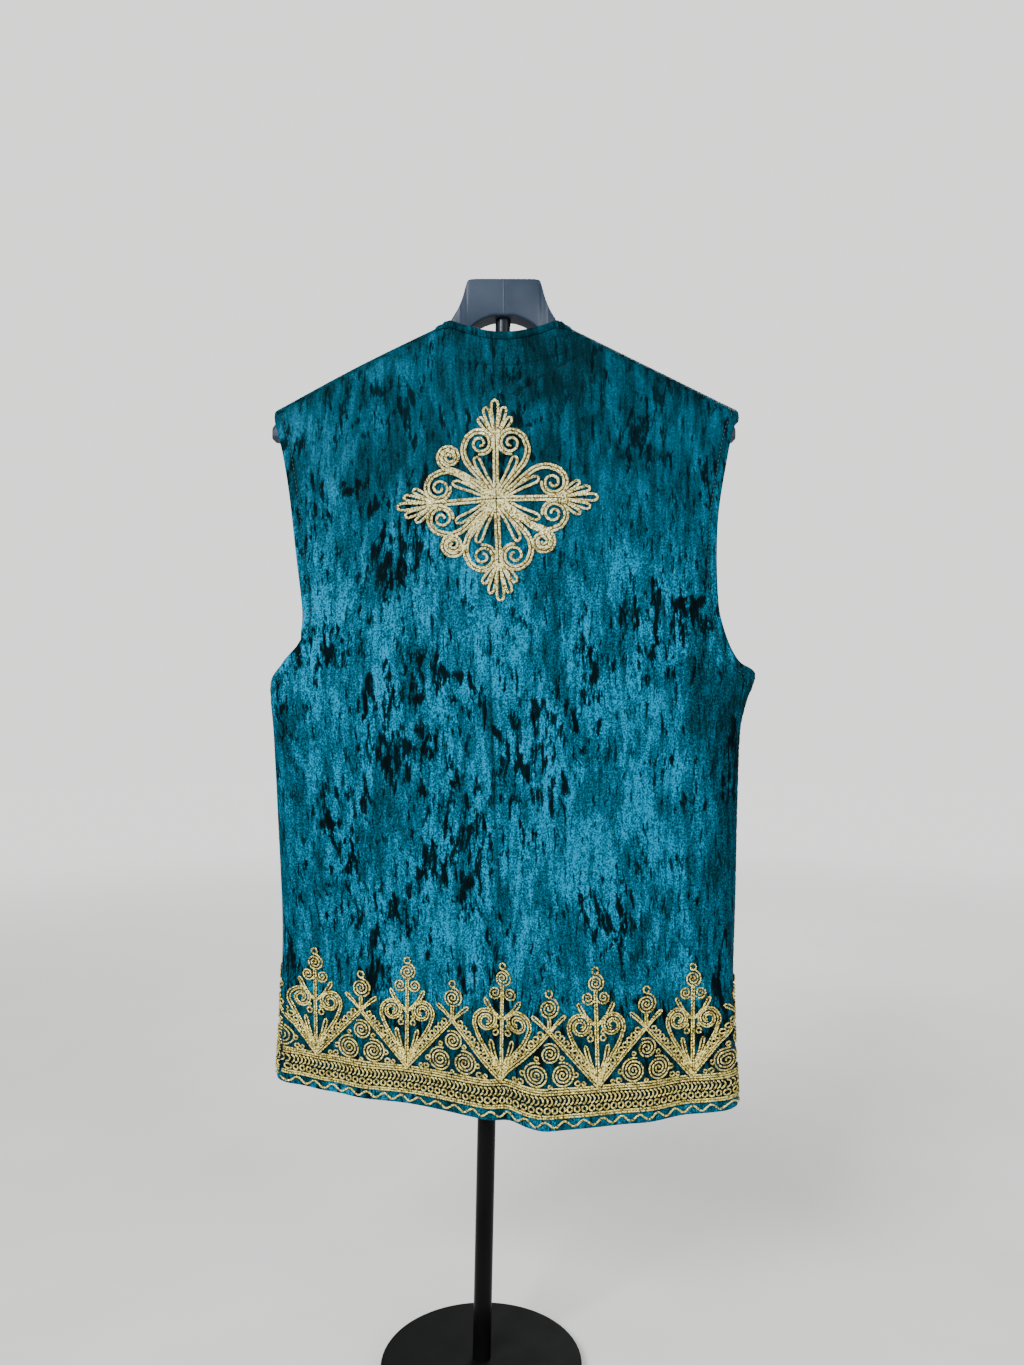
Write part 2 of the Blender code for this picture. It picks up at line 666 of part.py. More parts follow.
def make_back():
    """Back panel with its neckband, medallion, border and wave braid."""
    left_seam = side_seam(-1, SEAM_GAP / 2)
    right_seam = side_seam(1, -SEAM_GAP / 2)
    left_shoulder = shoulder_line(-1, True)
    right_shoulder = shoulder_line(1, True)
    neck = back_neck(0.0)
    right_arm = with_points_every(ARMHOLE_PITCH, RIGHT_ARMHOLE[::-1]) + armhole_end(1, True)
    left_cut = [(-reach, b) for reach, b in LEFT_ARMHOLE]
    left_arm = armhole_end(-1, True)[::-1] + with_points_every(ARMHOLE_PITCH, left_cut)
    outline = left_seam[:1] + hem_line(left_seam[0][0], right_seam[0][0], 0.0)
    outline += right_seam[:-1] + right_arm + right_shoulder + neck[::-1] + left_shoulder[::-1]
    outline += left_arm[:-1] + left_seam[:0:-1]

    filling = grid(FOLD_OFFSETS, FILL_ROWS, lambda p, b: p - reach_at(-1, b))
    filling += grid(FOLD_OFFSETS, FILL_ROWS, lambda p, b: reach_at(1, b) - p)
    filling += curl_points(-1, True) + curl_points(1, True)
    filling += grid(BACK_PLACES, FILL_ROWS, lambda p, b: p)
    filling += grid(HEM_FOLD_PLACES, HEM_FOLD_ROWS, lambda p, b: p)

    corner_left, corner_right = left_shoulder[-1], right_shoulder[-1]
    band = [corner_left] + neck + [corner_right, right_shoulder[-2]]
    band += back_neck(NECKBAND_WIDE)[::-1] + [left_shoulder[-2]]
    marks = hem_braids("back", left_seam, right_seam)
    marks["neckband_back"] = (band, "velvet")
    marks["medallion"] = (medallion_line(), "pale_gold_braid")
    panel("back_panel", outline, filling, marks)


def make_front(side):
    """One front, wrapped from its side seam round the fold to the open centre front."""
    label = "left" if side < 0 else "right"
    seam = side_seam(side, side * SEAM_GAP / 2)
    opening = centre_front(side)
    shoulder = shoulder_line(side, False)
    neck = front_neck(side, 0.0)
    table = LEFT_FRONT_ARMHOLE if side < 0 else RIGHT_FRONT_ARMHOLE
    arm = [seam[-1]] + [(side * (reach_at(side, b) + past), b) for past, b in table]
    arm = with_points_every(FRONT_ARMHOLE_PITCH, arm) + armhole_end(side, False) + [shoulder[0]]
    outline = hem_line(seam[0][0], opening[0][0], 0.0)[::-1] + seam[:-1] + arm[:-1]
    outline += shoulder + neck + opening[::-1]

    past_fold = FOLD_OFFSETS + tuple(FRONT_PLACES)
    before_fold = (0.0,) + FOLD_OFFSETS[:3]
    filling = grid(past_fold, FILL_ROWS, lambda p, b: side * (reach_at(side, b) + p))
    filling += grid(before_fold, FILL_ROWS, lambda p, b: side * (reach_at(side, b) - p))
    filling += curl_points(side, False)

    marks = hem_braids(label, seam, opening)
    edge = [p for p in arm if abs(p[0]) > reach_at(side, p[1]) + CORD_PAST_FOLD]
    beside = inset_line(edge, ARMHOLE_CORD_WIDE, -side)
    marks[f"armhole_cord_{label}"] = (edge + [shoulder[1]] + beside[:-1][::-1], "gold_braid")
    band = [shoulder[-1]] + neck + [opening[-1]]
    band += front_neck(side, NECKBAND_WIDE)[::-1] + [shoulder[-2]]
    marks[f"neckband_{label}"] = (band, "velvet")
    panel(f"front_{label}", outline, filling, marks)


# ---- the stand --------------------------------------------------------------------------------------
def turned(name, profile, segments, colour, lean=0.0):
    """A turned solid from a closed profile of (radius, height); lean tips its axis towards +X."""
    work = bmesh.new()
    rings = []
    for radius, height in profile:
        if radius == 0.0:
            rings.append([work.verts.new((0.0, 0.0, height))])
            continue
        ring = []
        for k in range(segments):
            angle = 2 * math.pi * k / segments
            ring.append(work.verts.new((radius * math.cos(angle), radius * math.sin(angle), height)))
        rings.append(ring)
    pairs = list(zip(rings, rings[1:] + rings[:1]))
    for lower, upper in pairs:
        if len(lower) == 1 and len(upper) == 1:
            continue
        for k in range(segments):
            n = (k + 1) % segments
            corners = [lower[k % len(lower)], lower[n % len(lower)]]
            corners += [upper[n % len(upper)], upper[k % len(upper)]]
            work.faces.new(list(dict.fromkeys(corners)))
    mesh = bpy.data.meshes.new(name)
    bmesh.ops.recalc_face_normals(work, faces=work.faces)
    work.to_mesh(mesh)
    work.free()
    mesh.shade_smooth()
    mesh.set_sharp_from_angle(angle=TURNED_SHARP)
    node(name, mesh, colour).rotation_euler = (0.0, lean, 0.0)


def make_base():
    """Round weighted base plate with an eased rim."""
    rim = []
    for k in range(5):
        angle = math.pi / 2 * k / 4
        rim.append((BASE_RADIUS - BASE_ROUND + BASE_ROUND * math.cos(angle),
                    BASE_THICK - BASE_ROUND + BASE_ROUND * math.sin(angle)))
    foot = [(0.0, 0.0), (BASE_RADIUS - FOOT_EDGE, 0.0), (BASE_RADIUS, FOOT_EDGE)]
    turned("base", foot + rim + [(0.0, BASE_THICK)], BASE_SIDES, "black_powder")


def tube_profile(bore, outer, low, high):
    """Closed profile of a plain tube."""
    return [(bore, low), (outer, low), (outer, high), (bore, high)]


def make_pole():
    """Lower tube, the collar that grips at its mouth, and the upper tube that slides in it."""
    lower_foot = BASE_THICK + RUNNING_GAP + LOWER_TUBE_R * math.sin(POLE_LEAN)
    turned("lower_tube", tube_profile(LOWER_BORE_R, LOWER_TUBE_R, lower_foot, LOWER_TUBE_TOP),
           TUBE_SIDES, "black_steel", POLE_LEAN)
    upper_top = (ARCH_TOP - RUNNING_GAP - UPPER_TUBE_R * math.sin(POLE_LEAN)) / math.cos(POLE_LEAN)
    turned("upper_tube", tube_profile(UPPER_BORE_R, UPPER_TUBE_R, UPPER_TUBE_LOW, upper_top),
           TUBE_SIDES, "black_steel", POLE_LEAN)
    wide, narrow = LOWER_TUBE_R + RUNNING_GAP, UPPER_TUBE_R + RUNNING_GAP
    collar = [(wide, COLLAR_LOW), (COLLAR_R - COLLAR_EDGE, COLLAR_LOW),
              (COLLAR_R, COLLAR_LOW + COLLAR_EDGE), (COLLAR_R, COLLAR_TOP - COLLAR_SHOULDER),
              (COLLAR_R - COLLAR_SHOULDER, COLLAR_TOP), (narrow, COLLAR_TOP),
              (narrow, COLLAR_STEP), (wide, COLLAR_STEP)]
    turned("clamp_collar", collar, TUBE_SIDES, "black_powder", POLE_LEAN)


def make_hanger():
    """Wide-shouldered moulded hanger, lofted through sections across its width."""
    rows = [(-reach,) + tuple(rest) for reach, *rest in HANGER[:0:-1]] + list(HANGER)
    work = bmesh.new()
    rings = []
    for reach, top, bottom, half, crown in rows:
        ring = []
        for k in range(CROWN_STEPS + 1):
            angle = math.pi * k / CROWN_STEPS
            ring.append((half * math.cos(angle), top - crown + crown * math.sin(angle)))
        ring += [(-half, bottom + HANGER_EDGE), (-half + HANGER_EDGE, bottom),
                 (half - HANGER_EDGE, bottom), (half, bottom + HANGER_EDGE)]
        rings.append([work.verts.new((HANGER_X + reach, y, z)) for y, z in ring])
    for left, right in zip(rings, rings[1:]):
        for k in range(len(left)):
            n = (k + 1) % len(left)
            work.faces.new((left[k], left[n], right[n], right[k]))
    work.faces.new(rings[0][::-1])
    work.faces.new(rings[-1])
    bmesh.ops.recalc_face_normals(work, faces=work.faces)
    mesh = bpy.data.meshes.new("hanger")
    work.to_mesh(mesh)
    work.free()
    mesh.shade_smooth()
    mesh.set_sharp_from_angle(angle=HANGER_SHARP)
    node("hanger", mesh, "hanger_plastic")


def main():
    """Clear the scene and build every piece."""
    for obj in list(bpy.data.objects):
        bpy.data.objects.remove(obj)
    make_base()
    make_pole()
    make_hanger()
    make_back()
    make_front(-1)
    make_front(1)


main()
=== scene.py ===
# %% [markdown]
# # A gold-braided velvet vest on its hanger stand
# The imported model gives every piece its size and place. This lesson gives each one its looks.
# The vest is laid out as flat pattern pieces in a space of two numbers: `c`, the distance round the
# garment from the centre back, and `b`, the height up the cloth. One function wraps that space onto
# the hanging shape, so cloth, braid and stitches all lie on the same surface.

import math
import random

import bmesh
import bpy
import numpy as np
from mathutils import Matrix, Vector
from mathutils.geometry import delaunay_2d_cdt


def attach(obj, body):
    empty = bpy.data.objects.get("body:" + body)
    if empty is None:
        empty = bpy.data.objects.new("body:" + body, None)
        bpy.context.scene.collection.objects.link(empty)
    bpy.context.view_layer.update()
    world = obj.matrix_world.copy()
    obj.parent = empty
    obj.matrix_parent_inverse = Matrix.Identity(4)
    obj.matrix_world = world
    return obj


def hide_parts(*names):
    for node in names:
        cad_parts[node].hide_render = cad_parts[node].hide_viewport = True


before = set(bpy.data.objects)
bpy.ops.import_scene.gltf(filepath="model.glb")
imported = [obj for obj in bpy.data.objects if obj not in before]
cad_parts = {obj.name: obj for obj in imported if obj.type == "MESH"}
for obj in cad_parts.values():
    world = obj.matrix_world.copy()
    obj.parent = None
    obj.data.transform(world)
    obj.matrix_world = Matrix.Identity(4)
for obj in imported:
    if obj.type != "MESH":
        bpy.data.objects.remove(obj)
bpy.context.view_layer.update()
chance = random.Random(11)

# %% [markdown]
# ## Camera
# The stand is seen square on from behind the vest, from a little under two metres away at chest
# height. A level camera keeps the pole's slight lean honest. It is made first, so that every later
# cell can be judged through it.

# %% Camera
EYE = (0.032, -1.151, 0.718)
FOCAL_LENGTH = 29.01

eye = bpy.data.objects.new("eye", bpy.data.cameras.new("eye"))
bpy.context.scene.collection.objects.link(eye)
eye.location = EYE
eye.rotation_euler = (math.pi / 2, 0.0, 0.0)
eye.data.lens = FOCAL_LENGTH
eye.data.sensor_width = 36.0
eye.data.clip_start = 0.02
bpy.context.scene.camera = eye
print("camera at", EYE)

# %% [markdown]
# ## Sizes of the hanging shape
# These are the garment's own measures: how far each side reaches from the centre back, how deep the
# hollow is, and where the large soft folds run. They are the sizes the solid panels were made with,
# so the thin shells made here lie on the same form.

# %% Measures of the vest
LEFT, RIGHT = -1, 1
SIDES = {"left": LEFT, "right": RIGHT}
CLOTH_THICK = 0.0016
SEAM_GAP = 0.0003
CENTRE_BACK_X = 0.024
CENTRE_FRONT_GAP = 0.008
SHOULDER_CURL = 0.016
NECK_RISE, NECK_RISE_RUN = 0.016, 0.008
BACK_NECK_HEIGHT, FRONT_NECK_HEIGHT = 1.0775, 0.880
HEM_HEIGHT, HEM_LIFT, HEM_LIFT_WIDE = 0.283, 0.010, 0.13
NECKBAND_WIDE = 0.008

# height, reach from the centre back, y of the side fold
EDGE = {
    LEFT: np.array([
        (0.260, 0.2470, 0.042), (0.293, 0.2462, 0.040), (0.375, 0.2412, 0.036),
        (0.463, 0.2381, 0.030), (0.572, 0.2402, 0.018), (0.670, 0.2428, 0.007),
        (0.711, 0.2449, 0.002), (0.780, 0.2430, 0.000), (1.000, 0.2450, 0.000),
        (1.120, 0.2450, 0.000)]),
    RIGHT: np.array([
        (0.260, 0.2432, -0.010), (0.283, 0.2424, -0.010), (0.409, 0.2375, -0.009),
        (0.490, 0.2402, -0.006), (0.600, 0.2435, -0.002), (0.668, 0.2466, 0.000),
        (0.695, 0.2522, 0.000), (0.727, 0.2623, 0.000), (0.760, 0.2570, 0.000),
        (0.850, 0.2500, 0.000), (1.002, 0.2500, 0.000), (1.120, 0.2500, 0.000)])}
# height, half depth of the shell, swing of the back, swing of the front, radius of the side fold
DEPTHS = np.array([
    (0.260, 0.018, 0.077, 0.045, 0.020), (0.360, 0.019, 0.062, 0.040, 0.020),
    (0.463, 0.020, 0.046, 0.034, 0.020), (0.570, 0.021, 0.032, 0.027, 0.020),
    (0.670, 0.022, 0.022, 0.020, 0.018), (0.760, 0.024, 0.014, 0.015, 0.014),
    (0.900, 0.025, 0.006, 0.008, 0.010), (1.000, 0.024, 0.000, 0.000, 0.006),
    (1.120, 0.024, 0.000, 0.000, 0.006)])
# share of the way across the back, share of the swing at the hem
HEM_SWING = np.array([(0.0, 0.0), (0.28, 0.25), (0.50, 0.84), (0.59, 1.0), (0.80, 0.55), (1.0, 0.0)])
HEM_SWING_TOP, HEM_SWING_BOTTOM = 0.62, 0.40
# reach, height of the shoulder line from neck to tip
SHOULDER = {
    LEFT: np.array([
        (0.0640, 1.0900), (0.1500, 1.0480), (0.2379, 1.0005)]),
    RIGHT: np.array([
        (0.0624, 1.0900), (0.1500, 1.0470), (0.2429, 1.0010)])}
# reach, height of the back's armhole edges, from the top
ARMHOLE = {
    LEFT: np.array([
        (0.2299, 0.966), (0.2254, 0.946), (0.2190, 0.905), (0.2121, 0.843), (0.2070, 0.800),
        (0.2064, 0.780), (0.2084, 0.7625)]),
    RIGHT: np.array([
        (0.2342, 0.9765), (0.2260, 0.9355), (0.2190, 0.890), (0.2173, 0.843), (0.2190, 0.800),
        (0.2226, 0.780), (0.2306, 0.7564), (0.2403, 0.7400), (0.2496, 0.7335), (0.2580, 0.7275)])}
# distance past the side fold, height of the fronts' armhole edges, from the seam up
FRONT_ARMHOLE = {
    LEFT: np.array([
        (-0.0310, 0.7545), (-0.0200, 0.7420), (-0.0090, 0.7250), (0.0000, 0.7110), (0.0140, 0.7060),
        (0.0300, 0.7200), (0.0430, 0.7500), (0.0520, 0.8000), (0.0560, 0.8500), (0.0500, 0.9000),
        (0.0330, 0.9450), (0.0120, 0.9780)]),
    RIGHT: np.array([
        (0.0080, 0.7180), (0.0240, 0.7060), (0.0400, 0.7140), (0.0520, 0.7450), (0.0600, 0.8000),
        (0.0610, 0.8500), (0.0540, 0.9000), (0.0350, 0.9450), (0.0130, 0.9780)])}
# height, distance of the side seam in from the fold
SIDE_SEAM = {
    LEFT: np.array([
        (0.260, 0.010), (0.400, 0.013), (0.540, 0.020), (0.700, 0.034), (0.7625, 0.0355)]),
    RIGHT: np.array([
        (0.260, 0.004), (0.7275, 0.0043)])}
SEAM_TOP = {LEFT: 0.7625, RIGHT: 0.7275}
# columns of the tables above, after the first
REACH, FOLD_Y = 1, 2
HALF_DEEP, BACK_SWING, FRONT_SWING, FOLD_RADIUS = 1, 2, 3, 4
print("shoulder tips reach", SHOULDER[LEFT][-1, 0], "and", SHOULDER[RIGHT][-1, 0], "m")

# %% [markdown]
# ## Folds and creases
# Cloth on a hanger hangs in soft vertical flutes, and drags in slanting creases where the shoulders
# carry it. A cloth simulation would settle them anywhere, so each is listed: a line from a top to a
# foot, a width, and a rise that is negative for a trough. No two are alike.

# %% Tables of folds and creases
# side, top x, top z, foot x, foot z, width, rise
FOLDS = (
    ("back", 0.016, 0.520, 0.030, 0.250, 0.013, -0.0100),
    ("back", 0.052, 0.500, 0.064, 0.250, 0.016, 0.0050),
    ("back", -0.158, 0.700, -0.168, 0.470, 0.014, 0.0030),
    ("back", 0.192, 0.760, 0.206, 0.440, 0.020, -0.0040),
    ("back", -0.110, 0.480, -0.130, 0.250, 0.022, 0.0040),
    ("back", 0.150, 0.520, 0.168, 0.250, 0.020, 0.0040),
    ("front", -0.120, 0.860, -0.150, 0.300, 0.024, 0.0050),
    ("front", 0.140, 0.840, 0.160, 0.300, 0.024, 0.0050),
    ("front", -0.060, 0.640, -0.050, 0.260, 0.020, -0.0050),
    ("front", 0.090, 0.660, 0.100, 0.260, 0.020, -0.0050),
)
CREASES = (
    ("back", 0.105, 1.044, -0.012, 1.020, 0.006, -0.0024),
    ("back", 0.090, 1.022, 0.020, 0.996, 0.007, 0.0022),
    ("back", 0.170, 1.018, 0.120, 0.955, 0.010, -0.0014),
    ("back", -0.075, 1.050, -0.030, 1.014, 0.007, -0.0012),
    ("back", -0.150, 1.010, -0.118, 0.930, 0.011, 0.0014),
    ("back", -0.182, 0.900, -0.170, 0.730, 0.010, -0.0018),
    ("back", -0.172, 0.860, -0.158, 0.520, 0.008, -0.0016),
    ("back", 0.205, 0.790, 0.196, 0.560, 0.008, -0.0030),
    ("back", 0.178, 0.800, 0.184, 0.600, 0.009, 0.0020),
    ("back", 0.226, 0.735, 0.214, 0.640, 0.007, -0.0024),
    ("back", -0.060, 0.760, -0.072, 0.480, 0.016, 0.0022),
    ("back", 0.100, 0.720, 0.112, 0.430, 0.015, -0.0024),
    ("back", -0.024, 0.640, -0.014, 0.420, 0.010, -0.0018),
    ("front", -0.090, 1.020, -0.150, 0.900, 0.010, -0.0018),
    ("front", 0.110, 1.010, 0.160, 0.880, 0.010, -0.0018),
    ("front", -0.185, 0.800, -0.190, 0.560, 0.010, -0.0022),
    ("front", 0.205, 0.780, 0.196, 0.540, 0.010, -0.0022),
    ("front", -0.100, 0.700, -0.110, 0.420, 0.014, 0.0022),
    ("front", 0.055, 0.740, 0.050, 0.450, 0.014, 0.0020),
)
print(len(FOLDS), "folds and", len(CREASES), "creases")

# %% [markdown]
# ## The surface
# Tables become smooth curves with a cubic that never overshoots its rows. Then the wrap is three
# moves: turn round the side fold, curl over the shoulder, and swing out with the folds.

# %% Smooth tables
def smooth(at, table, value):
    """Shape-keeping cubic through one column of a table, flat beyond its ends."""
    places, values = table[:, 0], table[:, value]
    at = np.clip(at, places[0], places[-1])
    steps = np.diff(places)
    slopes = np.diff(values) / steps
    rate = np.zeros(len(values))
    rate[0], rate[-1] = slopes[0], slopes[-1]
    for k in range(1, len(values) - 1):
        if slopes[k - 1] * slopes[k] > 0:
            rate[k] = 2.0 * slopes[k - 1] * slopes[k] / (slopes[k - 1] + slopes[k])
    k = np.clip(np.searchsorted(places, at, side="right") - 1, 0, len(steps) - 1)
    t = (at - places[k]) / steps[k]
    curve = values[k] * (1 + 2 * t) * (1 - t) ** 2 + values[k + 1] * t * t * (3 - 2 * t)
    return curve + steps[k] * (rate[k] * t * (1 - t) ** 2 - rate[k + 1] * t * t * (1 - t))


def ease(t):
    """Smooth step from 0 to 1."""
    t = np.clip(t, 0.0, 1.0)
    return t * t * (3.0 - 2.0 * t)


def ridge_height(c):
    """Height of the shoulders' top line, carried across the neck."""
    slope = np.where(c < 0, smooth(-c, SHOULDER[LEFT], 1), smooth(c, SHOULDER[RIGHT], 1))
    inside = np.where(c < 0, SHOULDER[LEFT][0, 0], SHOULDER[RIGHT][0, 0]) - np.abs(c)
    return slope + NECK_RISE * ease(inside / NECK_RISE_RUN)


print("left shoulder tip is", float(ridge_height(SHOULDER[LEFT][-1:, 0] * LEFT)[0]), "m up")


# %% Relief of folds and creases
FOLD_START, CREASE_ENDS = 2.5, 3.0
CREASE_WANDER = 0.004


def relief(side, x, z):
    """How far the folds and creases of one side lift the cloth at x, z."""
    total = np.zeros_like(x)
    for owner, top_x, top_z, foot_x, foot_z, width, rise in FOLDS:
        if owner == side:
            along = np.clip((top_z - z) / (top_z - foot_z), 0.0, 1.0)
            middle = top_x + (foot_x - top_x) * along
            total += rise * ease(along * FOLD_START) * np.exp(-(((x - middle) / width) ** 2))
    for owner, top_x, top_z, foot_x, foot_z, width, rise in CREASES:
        if owner == side:
            run_x, run_z = foot_x - top_x, foot_z - top_z
            length = math.hypot(run_x, run_z)
            along = ((x - top_x) * run_x + (z - top_z) * run_z) / length ** 2
            aside = ((x - top_x) * run_z - (z - top_z) * run_x) / length
            aside = aside + CREASE_WANDER * np.sin(along * 5.0 + top_x * 90.0)
            fade = ease(along * CREASE_ENDS) * ease((1.0 - along) * CREASE_ENDS)
            total += rise * fade * np.exp(-((aside / width) ** 2))
    return total


print("deepest trough", min(row[-1] for row in FOLDS + CREASES))


# %% Wrap the pattern onto the hanging shape
NORMAL_STEP = 0.0004


def wrap(c, b):
    """Points of the cloth's outer face for pattern places (c, b)."""
    left, right = smooth(b, EDGE[LEFT], REACH), smooth(b, EDGE[RIGHT], REACH)
    fold = smooth(b, DEPTHS, FOLD_RADIUS)
    on_left = c < (right - left) / 2.0
    from_fold = np.where(on_left, c + left, right - c)
    front, run = from_fold < 0, np.abs(from_fold)
    turn = np.clip(run / fold, 0.0, 1.0) * math.pi / 2
    inset = np.where(run < fold, fold * (1.0 - np.cos(turn)), run)
    across = np.where(on_left, inset - left, right - inset)

    below = np.maximum(ridge_height(across) - b, 0.0)
    curl = np.clip(below / SHOULDER_CURL, 0.0, 1.0) * math.pi / 2
    drop = np.where(below < SHOULDER_CURL, SHOULDER_CURL * (1.0 - np.cos(curl)), below)
    x, z = CENTRE_BACK_X + across, ridge_height(across) - drop

    share = (across + left) / (left + right)
    middle_y = smooth(b, EDGE[LEFT], FOLD_Y) * (1.0 - share) + smooth(b, EDGE[RIGHT], FOLD_Y) * share
    belly = np.sin(math.pi * np.clip(share, 0.0, 1.0))
    settle = ease((b - HEM_SWING_BOTTOM) / (HEM_SWING_TOP - HEM_SWING_BOTTOM))
    hem_shape = smooth(share, HEM_SWING, 1)
    back_belly = hem_shape + (belly - hem_shape) * settle
    back_out = smooth(b, DEPTHS, BACK_SWING) * back_belly + relief("back", x, z)
    front_out = smooth(b, DEPTHS, FRONT_SWING) * belly + relief("front", x, z)
    swell = smooth(b, DEPTHS, HALF_DEEP) + np.where(front, front_out, back_out)
    out = swell * np.sin(turn) * np.sin(curl)
    return np.stack([x, middle_y + np.where(front, out, -out), z], axis=1)


def wrap_normals(c, b):
    """Outward unit normals of the surface at pattern places."""
    sideways = wrap(c + NORMAL_STEP, b) - wrap(c - NORMAL_STEP, b)
    normals = np.cross(sideways, wrap(c, b) - wrap(c, b - NORMAL_STEP))
    return normals / np.linalg.norm(normals, axis=1, keepdims=True)


print("centre back at chest height:", wrap(np.array([0.0]), np.array([0.9]))[0].round(3))

# %% [markdown]
# ## Pattern edges
# A tailor's pattern is a handful of edges: hem, side seam, armhole, shoulder, neck and front
# opening. Each is a short function that returns points a few millimetres apart.

# %% Lines in pattern space
EDGE_STEP = 0.004


def curve(points, step=EDGE_STEP):
    """Smooth line through given points, with a point about every step."""
    points = np.array(points, float)
    padded = np.concatenate([2 * points[:1] - points[1:2], points, 2 * points[-1:] - points[-2:-1]])
    line = [points[0]]
    for before, start, end, after in zip(padded, padded[1:], padded[2:], padded[3:]):
        count = max(1, math.ceil(np.linalg.norm(end - start) / step))
        for k in range(1, count + 1):
            t = k / count
            line.append(0.5 * (2 * start + (end - before) * t
                               + (2 * before - 5 * start + 4 * end - after) * t ** 2
                               + (3 * start - before - 3 * end + after) * t ** 3))
    return np.array(line)


def spaced(line, step, closed=False):
    """The same line with its points an even distance apart."""
    line = np.concatenate([line, line[:1]]) if closed else line
    gone = np.concatenate([[0.0], np.cumsum(np.linalg.norm(np.diff(line, axis=0), axis=1))])
    count = max(2, math.ceil(gone[-1] / step))
    at = np.linspace(0.0, gone[-1], count + 1)
    if closed:
        at = at[:-1]
    return np.stack([np.interp(at, gone, line[:, k]) for k in range(2)], axis=1)


def beside(line, distance):
    """A line to the left of the given one, or to its right for a negative distance."""
    ahead = np.gradient(line, axis=0)
    ahead /= np.maximum(np.linalg.norm(ahead, axis=1, keepdims=True), 1e-9)
    return line + np.stack([-ahead[:, 1], ahead[:, 0]], axis=1) * distance


print("edge points every", EDGE_STEP * 1000, "mm")


# %% Edges of the garment
HEM_LIFT_FROM = EDGE[LEFT][1, REACH] - HEM_LIFT_WIDE
V_BOW = 0.006
# distance in from the neck's corner, distance below the shoulder line
NECK_TURN = ((0.0005, 0.0030), (0.0018, 0.0080), (0.0040, 0.0125), (0.0080, 0.0168))
TIP_LEAN, BELOW_TIP = 0.18, (0.0170, 0.0105, 0.0054)


def reach(side, b):
    """Distance from the centre back to the side fold."""
    return smooth(np.asarray(b, float), EDGE[side], REACH)


def on_front(side, x, b):
    """Pattern distance of a place on a front that stands x from the centre back."""
    return side * (2.0 * reach(side, b) - side * np.asarray(x))


def hem_at(c):
    """Height of the hem's cut edge."""
    return HEM_HEIGHT + HEM_LIFT * ease((-c - HEM_LIFT_FROM) / HEM_LIFT_WIDE)


def seam_at(side, b):
    """Pattern distance of the side seam's middle at a height."""
    inset = smooth(np.asarray(b, float), SIDE_SEAM[side], 1)
    return side * (reach(side, b) - inset)


def opening_at(side, b):
    """Pattern distance of a front's opening edge at a height."""
    return on_front(side, side * CENTRE_FRONT_GAP / 2, b)


def hem_line(start, end):
    """The hem between two pattern distances."""
    c = np.linspace(start, end, max(2, math.ceil(abs(end - start) / EDGE_STEP)))
    return np.stack([c, hem_at(c)], axis=1)


def from_hem(side, edge_at, top):
    """An upright edge, from the hem up to a height."""
    foot = float(hem_at(edge_at(side, HEM_HEIGHT)))
    b = np.linspace(foot, top, math.ceil((top - foot) / EDGE_STEP))
    return np.stack([edge_at(side, b), b], axis=1)


def side_seam(side, shift):
    """The side seam, from the hem up, moved round the garment by shift."""
    return from_hem(side, seam_at, SEAM_TOP[side]) + (shift, 0.0)


def front_opening(side):
    """A front's opening edge, from the hem up to the foot of the neck."""
    return from_hem(side, opening_at, FRONT_NECK_HEIGHT)


def to_panel(side, back, points):
    """Moves (c, b) points given on the back round to the same place on the front."""
    points = np.array(points, float)
    if not back:
        points[:, 0] = on_front(side, points[:, 0], points[:, 1])
    return points


def shoulder_line(side, back):
    """A shoulder seam, from its tip to the neck, just to one side of the ridge."""
    c = side * np.linspace(SHOULDER[side][-1, 0], SHOULDER[side][0, 0], 48)
    return to_panel(side, back, np.stack([c, ridge_height(c) - SEAM_GAP / 2], axis=1))


def neck_corner(side, wide):
    """The first points of a neck edge as it comes off the shoulder seam, or of a line beside it."""
    corner = SHOULDER[side][0, 0]
    points = []
    for inward, below in NECK_TURN:
        out = corner - inward * (1.0 - 0.5 * wide / NECKBAND_WIDE) + wide
        ridge = float(ridge_height(np.array([side * (out - wide)]))[0])
        points.append((side * out, ridge - below - 0.5 * wide))
    return points


def shoulder_end(side, wide):
    """The point of a shoulder seam that a neck edge starts from."""
    c = side * (SHOULDER[side][0, 0] + wide)
    return [(c, float(ridge_height(np.array([c]))[0]) - SEAM_GAP / 2)]


def back_neck(wide):
    """The back neck edge from left to right, or a line below it."""
    left, right = neck_corner(LEFT, wide)[:-1], neck_corner(RIGHT, wide)[:-1]
    start, end = np.array(neck_corner(LEFT, 0.0)[-1]), np.array(neck_corner(RIGHT, 0.0)[-1])
    middle = []
    for share in np.linspace(0.0, 1.0, 11):
        c, level = start + (end - start) * share
        middle.append((c, level + (BACK_NECK_HEIGHT - level) * math.sin(math.pi * share) - wide))
    return curve(shoulder_end(LEFT, wide) + left + middle + right[::-1] + shoulder_end(RIGHT, wide))


def front_neck(side, wide):
    """A front's V neck edge from the shoulder down, or a line beside it."""
    points = shoulder_end(side, wide) + neck_corner(side, wide)[:-1]
    first, top = neck_corner(side, 0.0)[-2]
    first = abs(first)
    for share in np.linspace(0.0, 1.0, 13)[1:]:
        out = first + (CENTRE_FRONT_GAP / 2 - first) * share
        bow = V_BOW * math.sin(math.pi * share)
        points.append((side * (out + bow + wide), top + (FRONT_NECK_HEIGHT - top) * share))
    return curve(to_panel(side, False, points))


